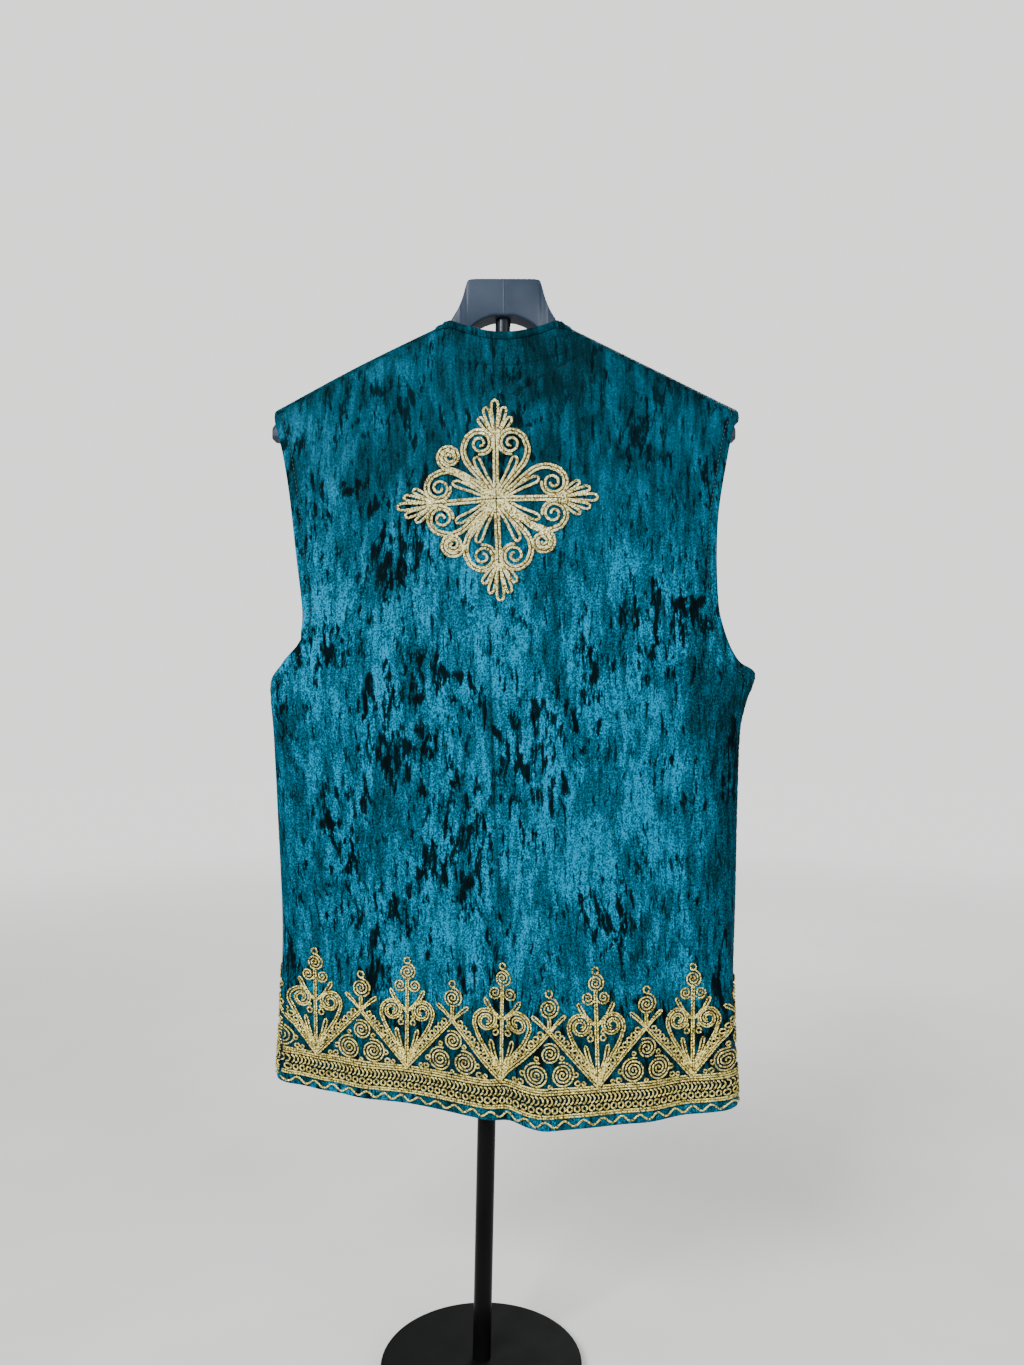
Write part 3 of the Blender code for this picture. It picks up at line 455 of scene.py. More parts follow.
def armhole(side, back):
    """An armhole edge, from the side seam up to the shoulder tip."""
    end = []
    for below in BELOW_TIP:
        c = side * (SHOULDER[side][-1, 0] - TIP_LEAN * below)
        end.append((c, float(ridge_height(np.array([c]))[0]) - below))
    end = [tuple(p) for p in to_panel(side, back, end)] + [tuple(shoulder_line(side, back)[0])]
    if back:
        start = [(side * out, b) for out, b in ARMHOLE[side][::-1]]
    else:
        seam_top = side_seam(side, side * SEAM_GAP / 2)[-1]
        start = [tuple(seam_top)]
        start += [(side * (float(reach(side, b)) + past), b) for past, b in FRONT_ARMHOLE[side]]
    return curve(start + end)


print("back neck is", len(back_neck(0.0)), "points long")

# %% [markdown]
# ## Node helpers
# Materials are node trees. A short helper adds a node, sets its options and feeds its sockets, so
# that each material below reads as a recipe.

# %% Node helpers
def add(tree, kind, feeds=None, **options):
    """A node with its options set and its sockets fed by values or other nodes' outputs."""
    made = tree.nodes.new(kind)
    for name, value in options.items():
        setattr(made, name, value)
    for name, value in (feeds or {}).items():
        if isinstance(value, bpy.types.NodeSocket):
            tree.links.new(value, made.inputs[name])
        else:
            made.inputs[name].default_value = value
    return made


def maths(tree, operation, first, second=0.0, third=0.0):
    """One Math node's output."""
    feeds = {0: first, 1: second, 2: third}
    return add(tree, "ShaderNodeMath", feeds, operation=operation).outputs[0]


def rescale(tree, value, low, high, new_low=0.0, new_high=1.0):
    """A value taken smoothly from one range to another."""
    feeds = {"Value": value, "From Min": low, "From Max": high, "To Min": new_low,
             "To Max": new_high}
    made = add(tree, "ShaderNodeMapRange", feeds, interpolation_type="SMOOTHSTEP")
    return made.outputs["Result"]


def object_place(tree):
    """Places on the object, in metres."""
    return add(tree, "ShaderNodeTexCoord").outputs["Object"]


def painted(tree, name):
    """A number painted on the mesh's points."""
    return add(tree, "ShaderNodeAttribute", attribute_name=name).outputs["Fac"]


def noise(tree, vector, stretch, scale, detail, roughness, distortion=0.0):
    """Noise over stretched coordinates."""
    mapped = add(tree, "ShaderNodeMapping", {"Vector": vector, "Scale": stretch}).outputs[0]
    feeds = {"Vector": mapped, "Scale": scale, "Detail": detail, "Roughness": roughness,
             "Distortion": distortion}
    return add(tree, "ShaderNodeTexNoise", feeds).outputs["Fac"]


def ramp(tree, value, stops):
    """Colour ramp through (place, colour) stops."""
    made = add(tree, "ShaderNodeValToRGB", {"Fac": value})
    while len(made.color_ramp.elements) < len(stops):
        made.color_ramp.elements.new(0.5)
    for element, (place, colour) in zip(made.color_ramp.elements, stops):
        element.position = place
        element.color = (*colour, 1.0)
    return made.outputs["Color"]


def group(name, inputs, outputs):
    """An empty node group, with its input and output nodes."""
    tree = bpy.data.node_groups.new(name, "ShaderNodeTree")
    for socket, kind in inputs:
        tree.interface.new_socket(socket, in_out="INPUT", socket_type=kind)
    for socket, kind in outputs:
        tree.interface.new_socket(socket, in_out="OUTPUT", socket_type=kind)
    return tree, tree.nodes.new("NodeGroupInput").outputs, tree.nodes.new("NodeGroupOutput")


def material(name, **sockets):
    """A new material, its node tree and its Principled BSDF with constant sockets set."""
    made = bpy.data.materials.new(name)
    made.use_nodes = True
    shader = made.node_tree.nodes["Principled BSDF"]
    for socket, value in sockets.items():
        shader.inputs[socket.replace("_", " ")].default_value = value
    return made, made.node_tree, shader


def use(tree, made_group, feeds):
    """Places a node group in a material and returns its outputs."""
    return add(tree, "ShaderNodeGroup", feeds, node_tree=made_group).outputs


def bumped(tree, shader, height, distance, strength=1.0):
    """Feeds a height into the shader's normal."""
    feeds = {"Height": height, "Distance": distance, "Strength": strength}
    tree.links.new(add(tree, "ShaderNodeBump", feeds).outputs[0], shader.inputs["Normal"])


def mottled(name, stretch, scale, detail, stops, **sockets):
    """A material whose colour wanders through stops, and the noise that leads it."""
    made, tree, shader = material(name, **sockets)
    wander = noise(tree, object_place(tree), stretch, scale, detail, 0.5)
    tree.links.new(ramp(tree, wander, stops), shader.inputs["Base Color"])
    return made, tree, shader, wander


FLOAT, VECTOR = "NodeSocketFloat", "NodeSocketVector"
EVEN = (1.0, 1.0, 1.0)
print("node helpers ready")

# %% [markdown]
# ## Crushed velvet
# Crushed velvet is pile pressed flat in all directions while wet. The lay of the pile is the cloth's
# own, but how bright it looks comes from the light, so here it is painted sheen: where the pile
# leans towards you the colour is bright, where it leans away it is almost black, and the patches run
# down the length of the cloth. The group paints that sheen from stretched noises: dark flecks with
# ragged edges that gather in drifts, fine nicks, soft streaks and a grain of painted glints. A
# number painted on the cloth's points adds painted shade under the border's cords, at the shoulders
# and yoke, at the side folds and in the sewn grooves, and a little towards the bottom. The neckband
# uses the same group with smaller flecks.

# %% Group: crushed pile
pile, pile_in, pile_out = group(
    "crushed_pile",
    (("Place", VECTOR), ("Fleck", FLOAT), ("Streak", FLOAT), ("Grain", FLOAT), ("Crush", FLOAT),
     ("Glint", FLOAT)),
    (("Tone", FLOAT), ("Height", FLOAT)))
wander = noise(pile, pile_in["Place"], (1.0, 1.0, 0.5), 9.0, 1.0, 0.5)
sway = add(pile, "ShaderNodeCombineXYZ", {"X": maths(pile, "MULTIPLY", wander, 0.022)}).outputs[0]
laid = add(pile, "ShaderNodeVectorMath", {0: pile_in["Place"], 1: sway}, operation="ADD").outputs[0]
fleck = noise(pile, laid, (1.0, 1.0, 0.30), pile_in["Fleck"], 4.0, 0.66, 0.30)
broader = maths(pile, "MULTIPLY", pile_in["Fleck"], 0.38)
blot = noise(pile, laid, (1.0, 1.0, 0.40), broader, 4.0, 0.62, 0.4)
cluster = noise(pile, laid, (1.0, 1.0, 0.60), 15.0, 2.0, 0.55)
mottle = noise(pile, laid, (1.0, 1.0, 0.34), 46.0, 3.0, 0.6)
finer = maths(pile, "MULTIPLY", pile_in["Fleck"], 1.7)
nick = noise(pile, laid, (1.0, 1.0, 0.20), finer, 3.0, 0.65)
streak = noise(pile, laid, (1.0, 1.0, 0.13), pile_in["Streak"], 3.0, 0.6, 0.2)
grain = noise(pile, pile_in["Place"], (1.0, 1.0, 0.8), pile_in["Grain"], 2.0, 0.75)
broad = noise(pile, laid, (1.0, 1.0, 0.55), 8.0, 1.5, 0.5)
drift = rescale(pile, cluster, 0.40, 0.66, 0.330, 0.470)


def torn(wave, raggedness, from_edge, to_edge, darkest):
    """Dark where a wave is under the drift, with an edge torn by the nicks."""
    rough = maths(pile, "MULTIPLY_ADD", maths(pile, "SUBTRACT", nick, 0.5), raggedness, wave)
    low, high = maths(pile, "ADD", drift, from_edge), maths(pile, "ADD", drift, to_edge)
    return rescale(pile, rough, low, high, darkest, 1.0)


# Painted sheen: flecks and blots darken the tone where the pile leans away from the light.
patch = maths(pile, "MULTIPLY", torn(fleck, 0.45, -0.055, 0.060, 0.08),
              torn(blot, 0.35, -0.085, -0.015, 0.05))
patchy = add(pile, "ShaderNodeMix", {"Factor": pile_in["Crush"], "A": 1.0, "B": patch}).outputs[0]
streaky = rescale(pile, streak, 0.30, 0.70, 0.62, 1.04)
lit = maths(pile, "MULTIPLY", patchy, streaky)
for wave, low, high, darkest, brightest in (
        (nick, 0.33, 0.44, 0.30, 1.02), (mottle, 0.34, 0.62, 0.60, 1.04),
        (broad, 0.32, 0.68, 0.72, 1.04)):
    lit = maths(pile, "MULTIPLY", lit, rescale(pile, wave, low, high, darkest, brightest))
# Painted glints: the fine grain lifts and lowers the tone, less where the Glint input is low.
painted_glint = rescale(pile, grain, 0.34, 0.68, 0.50, 1.45)
painted_glint = add(pile, "ShaderNodeMix", {"Factor": pile_in["Glint"], "A": 1.0, "B": painted_glint}).outputs[0]
pile.links.new(maths(pile, "MULTIPLY", lit, painted_glint), pile_out.inputs["Tone"])
height = maths(pile, "MULTIPLY_ADD", streaky, 0.5, maths(pile, "MULTIPLY", grain, 0.5))
pile.links.new(height, pile_out.inputs["Height"])
print("group crushed_pile:", len(pile.nodes), "nodes")

# %% Material: teal velvet and its reverse
TEAL = ((0.0, (0.0, 0.002, 0.003)), (0.25, (0.0, 0.017, 0.025)), (0.52, (0.0, 0.060, 0.098)),
        (0.80, (0.0, 0.122, 0.212)), (1.0, (0.0, 0.215, 0.385)))


GRAIN_SCALE = 640.0


def velvet_material(name, fleck_scale, streak_scale, brightness):
    """Teal crushed velvet with the pile laid at the given scales and its sheen painted into the
    colour; darker towards the shoulders, and darker still with painted shade from the cloth's
    points.
    """
    made, tree, shader = material(name, Roughness=0.62, Sheen_Weight=0.04, Sheen_Roughness=0.35,
                                  Sheen_Tint=(0.0, 0.45, 0.70, 1.0), Specular_IOR_Level=0.04)
    place = object_place(tree)
    high = add(tree, "ShaderNodeSeparateXYZ", {0: place}).outputs["Z"]
    crush = rescale(tree, high, 0.90, 1.02, 1.0, 0.72)
    lay = use(tree, pile, {"Place": place, "Fleck": fleck_scale, "Streak": streak_scale,
                           "Grain": GRAIN_SCALE, "Crush": crush,
                           "Glint": rescale(tree, high, 0.78, 0.98, 1.0, 0.5)})
    # Darker towards the shoulders.
    darkening_and_painted_shade = rescale(tree, high, 0.74, 0.96, brightness, 0.66 * brightness)
    # Painted shade, stored on the cloth's points, darkens the tone further.
    painted_shade = painted(tree, "painted_shade")
    darkening_and_painted_shade = maths(tree, "MULTIPLY", darkening_and_painted_shade, maths(tree, "SUBTRACT", 1.0, painted_shade))
    tone = maths(tree, "MULTIPLY", lay["Tone"], darkening_and_painted_shade)
    tree.links.new(ramp(tree, tone, TEAL), shader.inputs["Base Color"])
    tree.links.new(rescale(tree, lay["Tone"], 0.1, 0.9, 0.80, 0.46), shader.inputs["Roughness"])
    bumped(tree, shader, lay["Height"], 0.0008)
    return made


velvet = velvet_material("teal_velvet", 135.0, 190.0, 1.08)
band_velvet = velvet_material("neckband_velvet", 190.0, 280.0, 0.80)
reverse, reverse_tree, reverse_shader, knit = mottled(
    "velvet_reverse", (1.0, 1.0, 0.5), 900.0, 2.0,
    ((0.3, (0.002, 0.022, 0.030)), (0.7, (0.006, 0.050, 0.066))),
    Roughness=0.9, Specular_IOR_Level=0.1)
bumped(reverse_tree, reverse_shader, knit, 0.0004)
print("velvet materials:", velvet.name, band_velvet.name, reverse.name)

# %% [markdown]
# ## Gold thread
# The braid is metal thread wound on a core, so each cord shows slanting wraps that catch the light
# one by one. Two numbers painted on the cords' points say where a place is: `along`, its distance
# down the cord, and `about`, its share of the way round. The twist is a sine of both. The crest of a
# cord gets a painted highlight and its flanks painted shade, which keeps cords that lie side by side
# apart, and fine flecks of painted sparkle brighten the tone. A plait is the same sine with `about`
# folded in half, so that its wraps meet in chevrons.

# %% Group: wrapped thread
thread, thread_in, thread_out = group(
    "wrapped_thread",
    (("Along", FLOAT), ("About", FLOAT), ("Crest", FLOAT), ("Place", VECTOR), ("Pitch", FLOAT)),
    (("Height", FLOAT), ("Tone", FLOAT)))
turns = maths(thread, "DIVIDE", thread_in["Along"], thread_in["Pitch"])
phase = maths(thread, "MULTIPLY", maths(thread, "ADD", turns, thread_in["About"]), 2 * math.pi)
wraps = maths(thread, "MULTIPLY_ADD", maths(thread, "SINE", phase), 0.5, 0.5)
flecks = noise(thread, thread_in["Place"], EVEN, 470.0, 2.0, 0.7)
worn = noise(thread, thread_in["Place"], EVEN, 38.0, 2.0, 0.5)
# Painted sparkle: fine bright flecks added to the tone.
painted_sparkle = rescale(thread, flecks, 0.43, 0.58, 0.0, 0.86)
tone = maths(thread, "MULTIPLY_ADD", wraps, 0.34, painted_sparkle)
tone = maths(thread, "MULTIPLY", tone, rescale(thread, worn, 0.3, 0.7, 0.80, 1.08))
# Painted highlight on each cord's crest and painted shade on its flanks.
tone = maths(thread, "MULTIPLY", tone, rescale(thread, thread_in["Crest"], 0.66, 0.98, 0.14, 1.15))
thread.links.new(tone, thread_out.inputs["Tone"])
thread.links.new(maths(thread, "MULTIPLY_ADD", flecks, 0.9, wraps), thread_out.inputs["Height"])
print("group wrapped_thread:", len(thread.nodes), "nodes")


# %% Materials: the two golds
CHEVRON_SLOPE = 3.0


def gold_material(name, pitch, stops, depth, plaited):
    """Metal thread whose wraps repeat every pitch, slanting round or meeting in chevrons."""
    made, tree, shader = material(name, Roughness=0.42, Metallic=0.40, Specular_IOR_Level=0.4)
    along = painted(tree, "along")
    about = painted(tree, "about")
    place = object_place(tree)
    crest = maths(tree, "SINE", maths(tree, "MULTIPLY", about, math.pi))
    if plaited:
        from_crest = maths(tree, "ABSOLUTE", maths(tree, "SUBTRACT", about, 0.5))
        about = maths(tree, "MULTIPLY", from_crest, CHEVRON_SLOPE)
    wound = use(tree, thread, {"Along": along, "About": about, "Crest": crest, "Place": place,
                               "Pitch": pitch})
    tree.links.new(ramp(tree, wound["Tone"], stops), shader.inputs["Base Color"])
    tree.links.new(rescale(tree, wound["Tone"], 0.1, 0.9, 0.55, 0.24), shader.inputs["Roughness"])
    bumped(tree, shader, wound["Height"], depth)
    return made


GOLD = ((0.03, (0.020, 0.015, 0.002)), (0.42, (0.42, 0.330, 0.055)), (0.90, (1.0, 0.880, 0.300)))
PALE_GOLD = ((0.03, (0.040, 0.028, 0.005)), (0.34, (0.42, 0.320, 0.080)),
             (0.62, (0.94, 0.840, 0.310)), (0.95, (1.0, 0.965, 0.560)))
gold = gold_material("gold_cord", 0.0030, GOLD, 0.0005, False)
pale_gold = gold_material("pale_gold_plait", 0.0030, PALE_GOLD, 0.0007, True)
print("gold materials:", gold.name, pale_gold.name)

# %% [markdown]
# ## Cutting and shaping cloth
# A panel is cut out of the pattern plane: its edge, an inner field of points, and a triangulation
# between them. The points are then wrapped onto the surface, doubled to give the cloth a real
# thickness, and joined round the rim with a rounded turned edge. The field is closer where the cloth
# bends tightly, at the shoulders and the side folds.

# %% Fields of points
WIDE_FIELD, CLOSE_FIELD = 0.0054, 0.0030
TIGHT_BEND = 0.024
# half width and depth of a sewn groove, and how much painted shade lies in it
GROOVE_HALF, GROOVE_DEEP, GROOVE_PAINTED_SHADE = 0.0020, 0.0009, 0.50
RIM_ROUND, RIM_OUT = 0.22, 0.0004


def is_inside(points, outline):
    """Which points lie inside a closed outline."""
    x, y = points[:, 0], points[:, 1]
    inside = np.zeros(len(points), bool)
    for (x0, y0), (x1, y1) in zip(outline, np.roll(outline, -1, axis=0)):
        if y0 != y1:
            inside ^= ((y0 > y) != (y1 > y)) & (x < (x1 - x0) * (y - y0) / (y1 - y0) + x0)
    return inside


def distance_to(points, line, batch=4000):
    """Distance of each point from the nearest point of a line."""
    parts = [points[k:k + batch] for k in range(0, len(points), batch)]
    return np.concatenate([np.linalg.norm(p[:, None, :] - line[None, :, :], axis=2).min(axis=1)
                           for p in parts]) if parts else np.zeros(0)


def staggered(low, high, step):
    """Rows of points over a rectangle, every second row moved half a step."""
    rows = []
    for k, b in enumerate(np.arange(low[1], high[1], step * 0.866)):
        c = np.arange(low[0] + step * 0.5 * (k % 2), high[0], step)
        rows.append(np.stack([c, np.full_like(c, b)], axis=1))
    return np.concatenate(rows)


def is_tight(points):
    """Which points lie where the cloth bends tightly."""
    c, b = points[:, 0], points[:, 1]
    half = np.where(c < 0, reach(LEFT, b), reach(RIGHT, b))
    side_run = np.abs(np.abs(c) - half)
    folded = half - side_run
    below = ridge_height(np.sign(c) * folded) - b
    return (side_run < TIGHT_BEND) | (below < TIGHT_BEND)


def field(outline, sewn):
    """Inner points of a panel, closer together where it bends tightly and beside sewn lines."""
    low, high = outline.min(axis=0), outline.max(axis=0)
    wide, close = staggered(low, high, WIDE_FIELD), staggered(low, high, CLOSE_FIELD)
    chosen = [wide[~is_tight(wide)], close[is_tight(close)]]
    for line in sewn:
        chosen = [points[distance_to(points, line) > 1.6 * GROOVE_HALF] for points in chosen]
    for line in sewn:
        chosen += [beside(line, offset) for offset in (-GROOVE_HALF, 0.0, GROOVE_HALF)]
    points = np.concatenate(chosen)
    points = points[is_inside(points, outline)]
    return points[distance_to(points, outline) > 0.5 * CLOSE_FIELD]


print("field steps", WIDE_FIELD, CLOSE_FIELD)


# %% Closed shells
def link(name, mesh, *materials):
    """A new object in the scene with its materials."""
    for each in materials:
        mesh.materials.append(each)
    obj = bpy.data.objects.new(name, mesh)
    bpy.context.scene.collection.objects.link(obj)
    return obj


# painted shade of the border's cords on the cloth: rise above the hem, over a run, and how much
# darker from there: the band, the trees, their tops
BORDER_PAINTED_SHADE = ((0.0095, 0.002, 0.72), (0.036, 0.006, -0.27), (0.075, 0.045, -0.45))
# painted shade at the yoke, on the right side fold, on the left side, and a little towards the
# bottom;
# how dark, from c, fading over, to c, fading over, from b, fading over, to b, fading over
ANYWHERE = 9.0
PAINTED_SHADE_PATCHES = (
    (0.30, -0.105, 0.060, 0.145, 0.060, 0.985, 0.050, ANYWHERE, 1.0),
    (0.50, 0.175, 0.045, 0.310, 0.050, 0.370, 0.080, 0.800, 0.120),
    (0.28, -0.300, 0.050, -0.195, 0.030, -ANYWHERE, 1.0, 0.760, 0.100),
    (0.05, -ANYWHERE, 1.0, ANYWHERE, 1.0, -ANYWHERE, 1.0, 0.640, 0.150),
)
# painted shade where the cloth curls over the shoulders, and how far below the ridge it reaches
SHOULDER_PAINTED_SHADE, SHOULDER_PAINTED_SHADE_WIDE = 0.42, 0.030


def painted_shade_at(c, b):
    """How much painted shade the cloth gets: under the border's cords, at the shoulders, where
    stated.
    """
    rise = b - hem_at(c)
    painted_shade = sum(darker * ease((rise - start) / run) for start, run, darker in BORDER_PAINTED_SHADE)
    near = ease(1.0 - (ridge_height(c) - b) / SHOULDER_PAINTED_SHADE_WIDE)
    painted_shade = np.maximum(painted_shade, SHOULDER_PAINTED_SHADE * near)
    for dark, c_from, c_in, c_to, c_out, b_from, b_in, b_to, b_out in PAINTED_SHADE_PATCHES:
        across = ease((c - c_from) / c_in) * ease((c_to - c) / c_out)
        up = ease((b - b_from) / b_in) * ease((b_to - b) / b_out)
        painted_shade = np.maximum(painted_shade, dark * across * up)
    return painted_shade


def shell(name, outline, sewn):
    """Velvet cut to an outline and wrapped on, drawn in along sewn lines; and its flat area."""
    inner = field(outline, sewn)
    count = len(outline)
    points = [Vector(p) for p in outline] + [Vector(p) for p in inner]
    result = delaunay_2d_cdt(points, [], [list(range(count))], 0, 1e-7)
    places = np.array([tuple(p) for p in result[0]])
    faces = np.array([tuple(face) for face in result[2]])
    faces = faces[is_inside(places[faces].mean(axis=1), outline)]
    edges = np.concatenate([faces[:, (0, 1)], faces[:, (1, 2)], faces[:, (2, 0)]])
    present = set(map(tuple, edges.tolist()))
    rim = np.array([edge for edge in present if (edge[1], edge[0]) not in present])

    total = len(places)
    base, normals = wrap(places[:, 0], places[:, 1]), wrap_normals(places[:, 0], places[:, 1])
    on_rim = np.zeros(total, bool)
    on_rim[rim.ravel()] = True
    ease_in = np.where(on_rim, RIM_ROUND * CLOTH_THICK, 0.0)
    sunk = np.zeros(total)
    for line in sewn:
        away = distance_to(places, line) / GROOVE_HALF
        sunk = np.maximum(sunk, GROOVE_DEEP * np.exp(-(away ** 2)))
    outer = base - normals * (ease_in + sunk)[:, None]
    inside = base + normals * (ease_in - CLOTH_THICK - sunk)[:, None]

    outward = np.zeros((total, 3))
    for start in (0, 1):
        run = base[rim[:, 1]] - base[rim[:, 0]]
        np.add.at(outward, rim[:, start], np.cross(run, normals[rim[:, start]]))
    outward /= np.maximum(np.linalg.norm(outward, axis=1, keepdims=True), 1e-9)
    middle = base - normals * (CLOTH_THICK / 2) + outward * RIM_OUT
    edge_ids = np.unique(rim)
    slot_of = {int(v): 2 * total + k for k, v in enumerate(edge_ids)}
    vertices = np.concatenate([outer, inside, middle[edge_ids]])
    solid = faces.tolist() + (faces[:, ::-1] + total).tolist()
    for u, v in rim.tolist():
        mu, mv = slot_of[u], slot_of[v]
        solid += [(v, u, mu, mv), (mv, mu, u + total, v + total)]
    mesh = bpy.data.meshes.new(name)
    mesh.from_pydata(vertices.tolist(), [], solid)
    slots = np.zeros(len(solid), np.int32)
    slots[len(faces):2 * len(faces)] = 1
    mesh.polygons.foreach_set("material_index", slots)
    mesh.shade_smooth()
    # Painted shade of the lay, and painted shade in the sewn grooves and drag lines.
    painted_shade = np.maximum(painted_shade_at(places[:, 0], places[:, 1]), GROOVE_PAINTED_SHADE * sunk / GROOVE_DEEP)
    mesh.attributes.new("painted_shade", "FLOAT", "POINT").data.foreach_set(
        "value", np.concatenate([painted_shade, painted_shade, painted_shade[edge_ids]]).astype(np.float32))
    obj = link(name, mesh, velvet, reverse)
    area = 0.5 * np.abs(np.cross(places[faces[:, 1]] - places[faces[:, 0]],
                                 places[faces[:, 2]] - places[faces[:, 0]])).sum()
    print(f"{name}: {len(mesh.polygons)} faces, flat area {area:.4f} m2")
    return obj, area


print("shell maker ready")

# %% [markdown]
# ## The three velvet panels
# The vest is cut in three: one back and two fronts. Each is outlined by its edges in order, with
# 0.3 mm left at the seams. A row of topstitching runs 8 mm inside the armholes and draws the pile
# in, so the panels get a shallow groove there, and so do the faint line down the centre back and
# two drag lines that run up to the neck on the right. Each groove is also darkened with painted
# shade.

# %% Cut the panels
TOPSTITCH_IN = 0.008
SAME_POINT = 0.0008


def outline_of(*edges):
    """One closed outline from edges in order, without doubled points."""
    points = []
    for point in np.concatenate(edges):
        if not points or np.linalg.norm(point - points[-1]) > SAME_POINT:
            points.append(point)
    if np.linalg.norm(points[0] - points[-1]) < SAME_POINT:
        points.pop()
    return np.array(points)


def topstitch(side, back):
    """The line of stitching inside an armhole, on whichever side of the edge the cloth lies."""
    edge = spaced(armhole(side, back)[:-3], 0.003)
    return beside(edge, TOPSTITCH_IN * (side if back else -side))


back_seams = {side: side_seam(side, -side * SEAM_GAP / 2) for side in (LEFT, RIGHT)}
back_outline = outline_of(
    hem_line(back_seams[LEFT][0, 0], back_seams[RIGHT][0, 0]), back_seams[RIGHT],
    armhole(RIGHT, True)[2:], shoulder_line(RIGHT, True), back_neck(0.0)[::-1],
    shoulder_line(LEFT, True)[::-1], armhole(LEFT, True)[2:][::-1], back_seams[LEFT][::-1])
centre_line = np.linspace((-0.016, 0.775), (-0.006, 0.500), 90)
upper_drag = curve([(-0.030, 1.045), (0.010, 1.044), (0.050, 1.052), (0.072, 1.062)], 0.002)
lower_drag = curve([(0.010, 1.014), (0.036, 1.031), (0.060, 1.045), (0.082, 1.055)], 0.002)
back_sewn = [topstitch(LEFT, True), topstitch(RIGHT, True), centre_line, upper_drag, lower_drag]
back_cloth, back_area = shell("back_cloth", back_outline, back_sewn)

fronts = {}
for label, side in SIDES.items():
    seam = side_seam(side, side * SEAM_GAP / 2)
    opening = front_opening(side)
    outline = outline_of(hem_line(opening[0, 0], seam[0, 0]), seam, armhole(side, False),
                         shoulder_line(side, False), front_neck(side, 0.0), opening[::-1])
    fronts[label] = shell(f"front_cloth_{label}", outline, [topstitch(side, False)])
print("cloth in all:", round(back_area + sum(area for cloth, area in fronts.values()), 3), "m2")

# %% [markdown]
# ## Lofting
# Bands, cords and the hanger are all sections carried along a path. One helper joins rows of section
# points into a closed skin with rounded ends, so nothing is left open for a print or a physics mesh.

# %% Loft helper
def loft_faces(rows, across, start, closed):
    """Faces of a closed skin through rows of section points, numbered from start."""
    row, col = np.meshgrid(np.arange(rows if closed else rows - 1), np.arange(across), indexing="ij")
    after, beyond = (row + 1) % rows, (col + 1) % across
    quads = np.stack([row * across + col, after * across + col, after * across + beyond,
                      row * across + beyond], axis=-1).reshape(-1, 4) + start
    faces = quads.tolist()
    if not closed:
        first, last = start + rows * across, start + rows * across + 1
        end = start + (rows - 1) * across
        for k in range(across):
            n = (k + 1) % across
            faces.append((first, start + k, start + n))
            faces.append((last, end + n, end + k))
    return faces


def face_outwards(mesh):
    """Points every face of a closed mesh outwards."""
    work = bmesh.new()
    work.from_mesh(mesh)
    bmesh.ops.recalc_face_normals(work, faces=work.faces)
    work.to_mesh(mesh)
    work.free()


def loft(name, sections, made_of, bulge=0.0004):
    """One lofted piece with its ends closed over a middle point."""
    sections = np.array(sections)
    rows, across = sections.shape[:2]
    caps = []
    for end, near in ((0, 1), (-1, -2)):
        out = sections[end].mean(axis=0) - sections[near].mean(axis=0)
        caps.append(sections[end].mean(axis=0) + out / max(np.linalg.norm(out), 1e-9) * bulge)
    vertices = np.concatenate([sections.reshape(-1, 3), caps])
    mesh = bpy.data.meshes.new(name)
    mesh.from_pydata(vertices.tolist(), [], loft_faces(rows, across, 0, False))
    mesh.shade_smooth()
    face_outwards(mesh)
    print(f"{name}: {len(mesh.polygons)} faces")
    return link(name, mesh, made_of)


print("loft helper ready")

# %% [markdown]
# ## Neckbands
# The neck is finished with a narrow velvet strip, folded and stitched along both its edges, so it
# stands up as a soft roll between two shallow valleys. It is lofted between the neck edge and a line
# 8 mm inside it.

# %% Make the neckbands
BAND_LIFT, BAND_THICK, VALLEY_DEEP = 0.0003, 0.0014, 0.0006
BAND_STITCH, BAND_INSET = 0.17, 0.015
RAIL_DENSITY = 1.4


def neckband(name, outer_rail, inner_rail):
    """A stitched strip of velvet between two rails on the surface."""
    count = math.ceil(len(outer_rail) * RAIL_DENSITY)
    rails = []
    for rail in (outer_rail, inner_rail):
        even = spaced(rail, 0.001)
        rails.append(even[np.linspace(0, len(even) - 1, count).astype(int)])
    shares = np.linspace(0.0, 1.0, 13)
    roll = np.maximum(1.0 - (2.0 * shares - 1.0) ** 4, 0.0) ** 0.5
    valley = sum(np.exp(-(((shares - at) / 0.07) ** 2)) for at in (BAND_STITCH, 1.0 - BAND_STITCH))
    over = list(zip(shares, BAND_LIFT + (BAND_THICK - VALLEY_DEEP * valley) * roll))
    under = [(share, BAND_LIFT) for share in shares[-2:0:-3]]
    rows = []
    for share, rise in over + under:
        c, b = (rails[0] + (rails[1] - rails[0]) * (BAND_INSET + (1.0 - 2.0 * BAND_INSET) * share)).T
        rows.append(wrap(c, b) + wrap_normals(c, b) * rise)
    return loft(name, np.stack(rows, axis=1), band_velvet)


neckbands = {"back": neckband("neckband_back_roll", back_neck(0.0), back_neck(NECKBAND_WIDE))}
for label, side in SIDES.items():
    neckbands[label] = neckband(f"neckband_{label}_roll", front_neck(side, 0.0),
                                front_neck(side, NECKBAND_WIDE))

# %% [markdown]
# ## Couching
# Couched cord is laid on the cloth and caught down with fine thread. Every cord here is a path in
# the pattern plane, swept into a slightly flattened tube on the surface. All the cords of a piece
# are joined in one mesh. Each path is raised by a hair of its own, as cords that cross pile up.

# %% Couch cords onto the cloth
CORD_HALF_WIDE, CORD_HALF_HIGH = 0.00094, 0.00100
CORD_STEP = 0.0017
TIP_LONG = 0.7


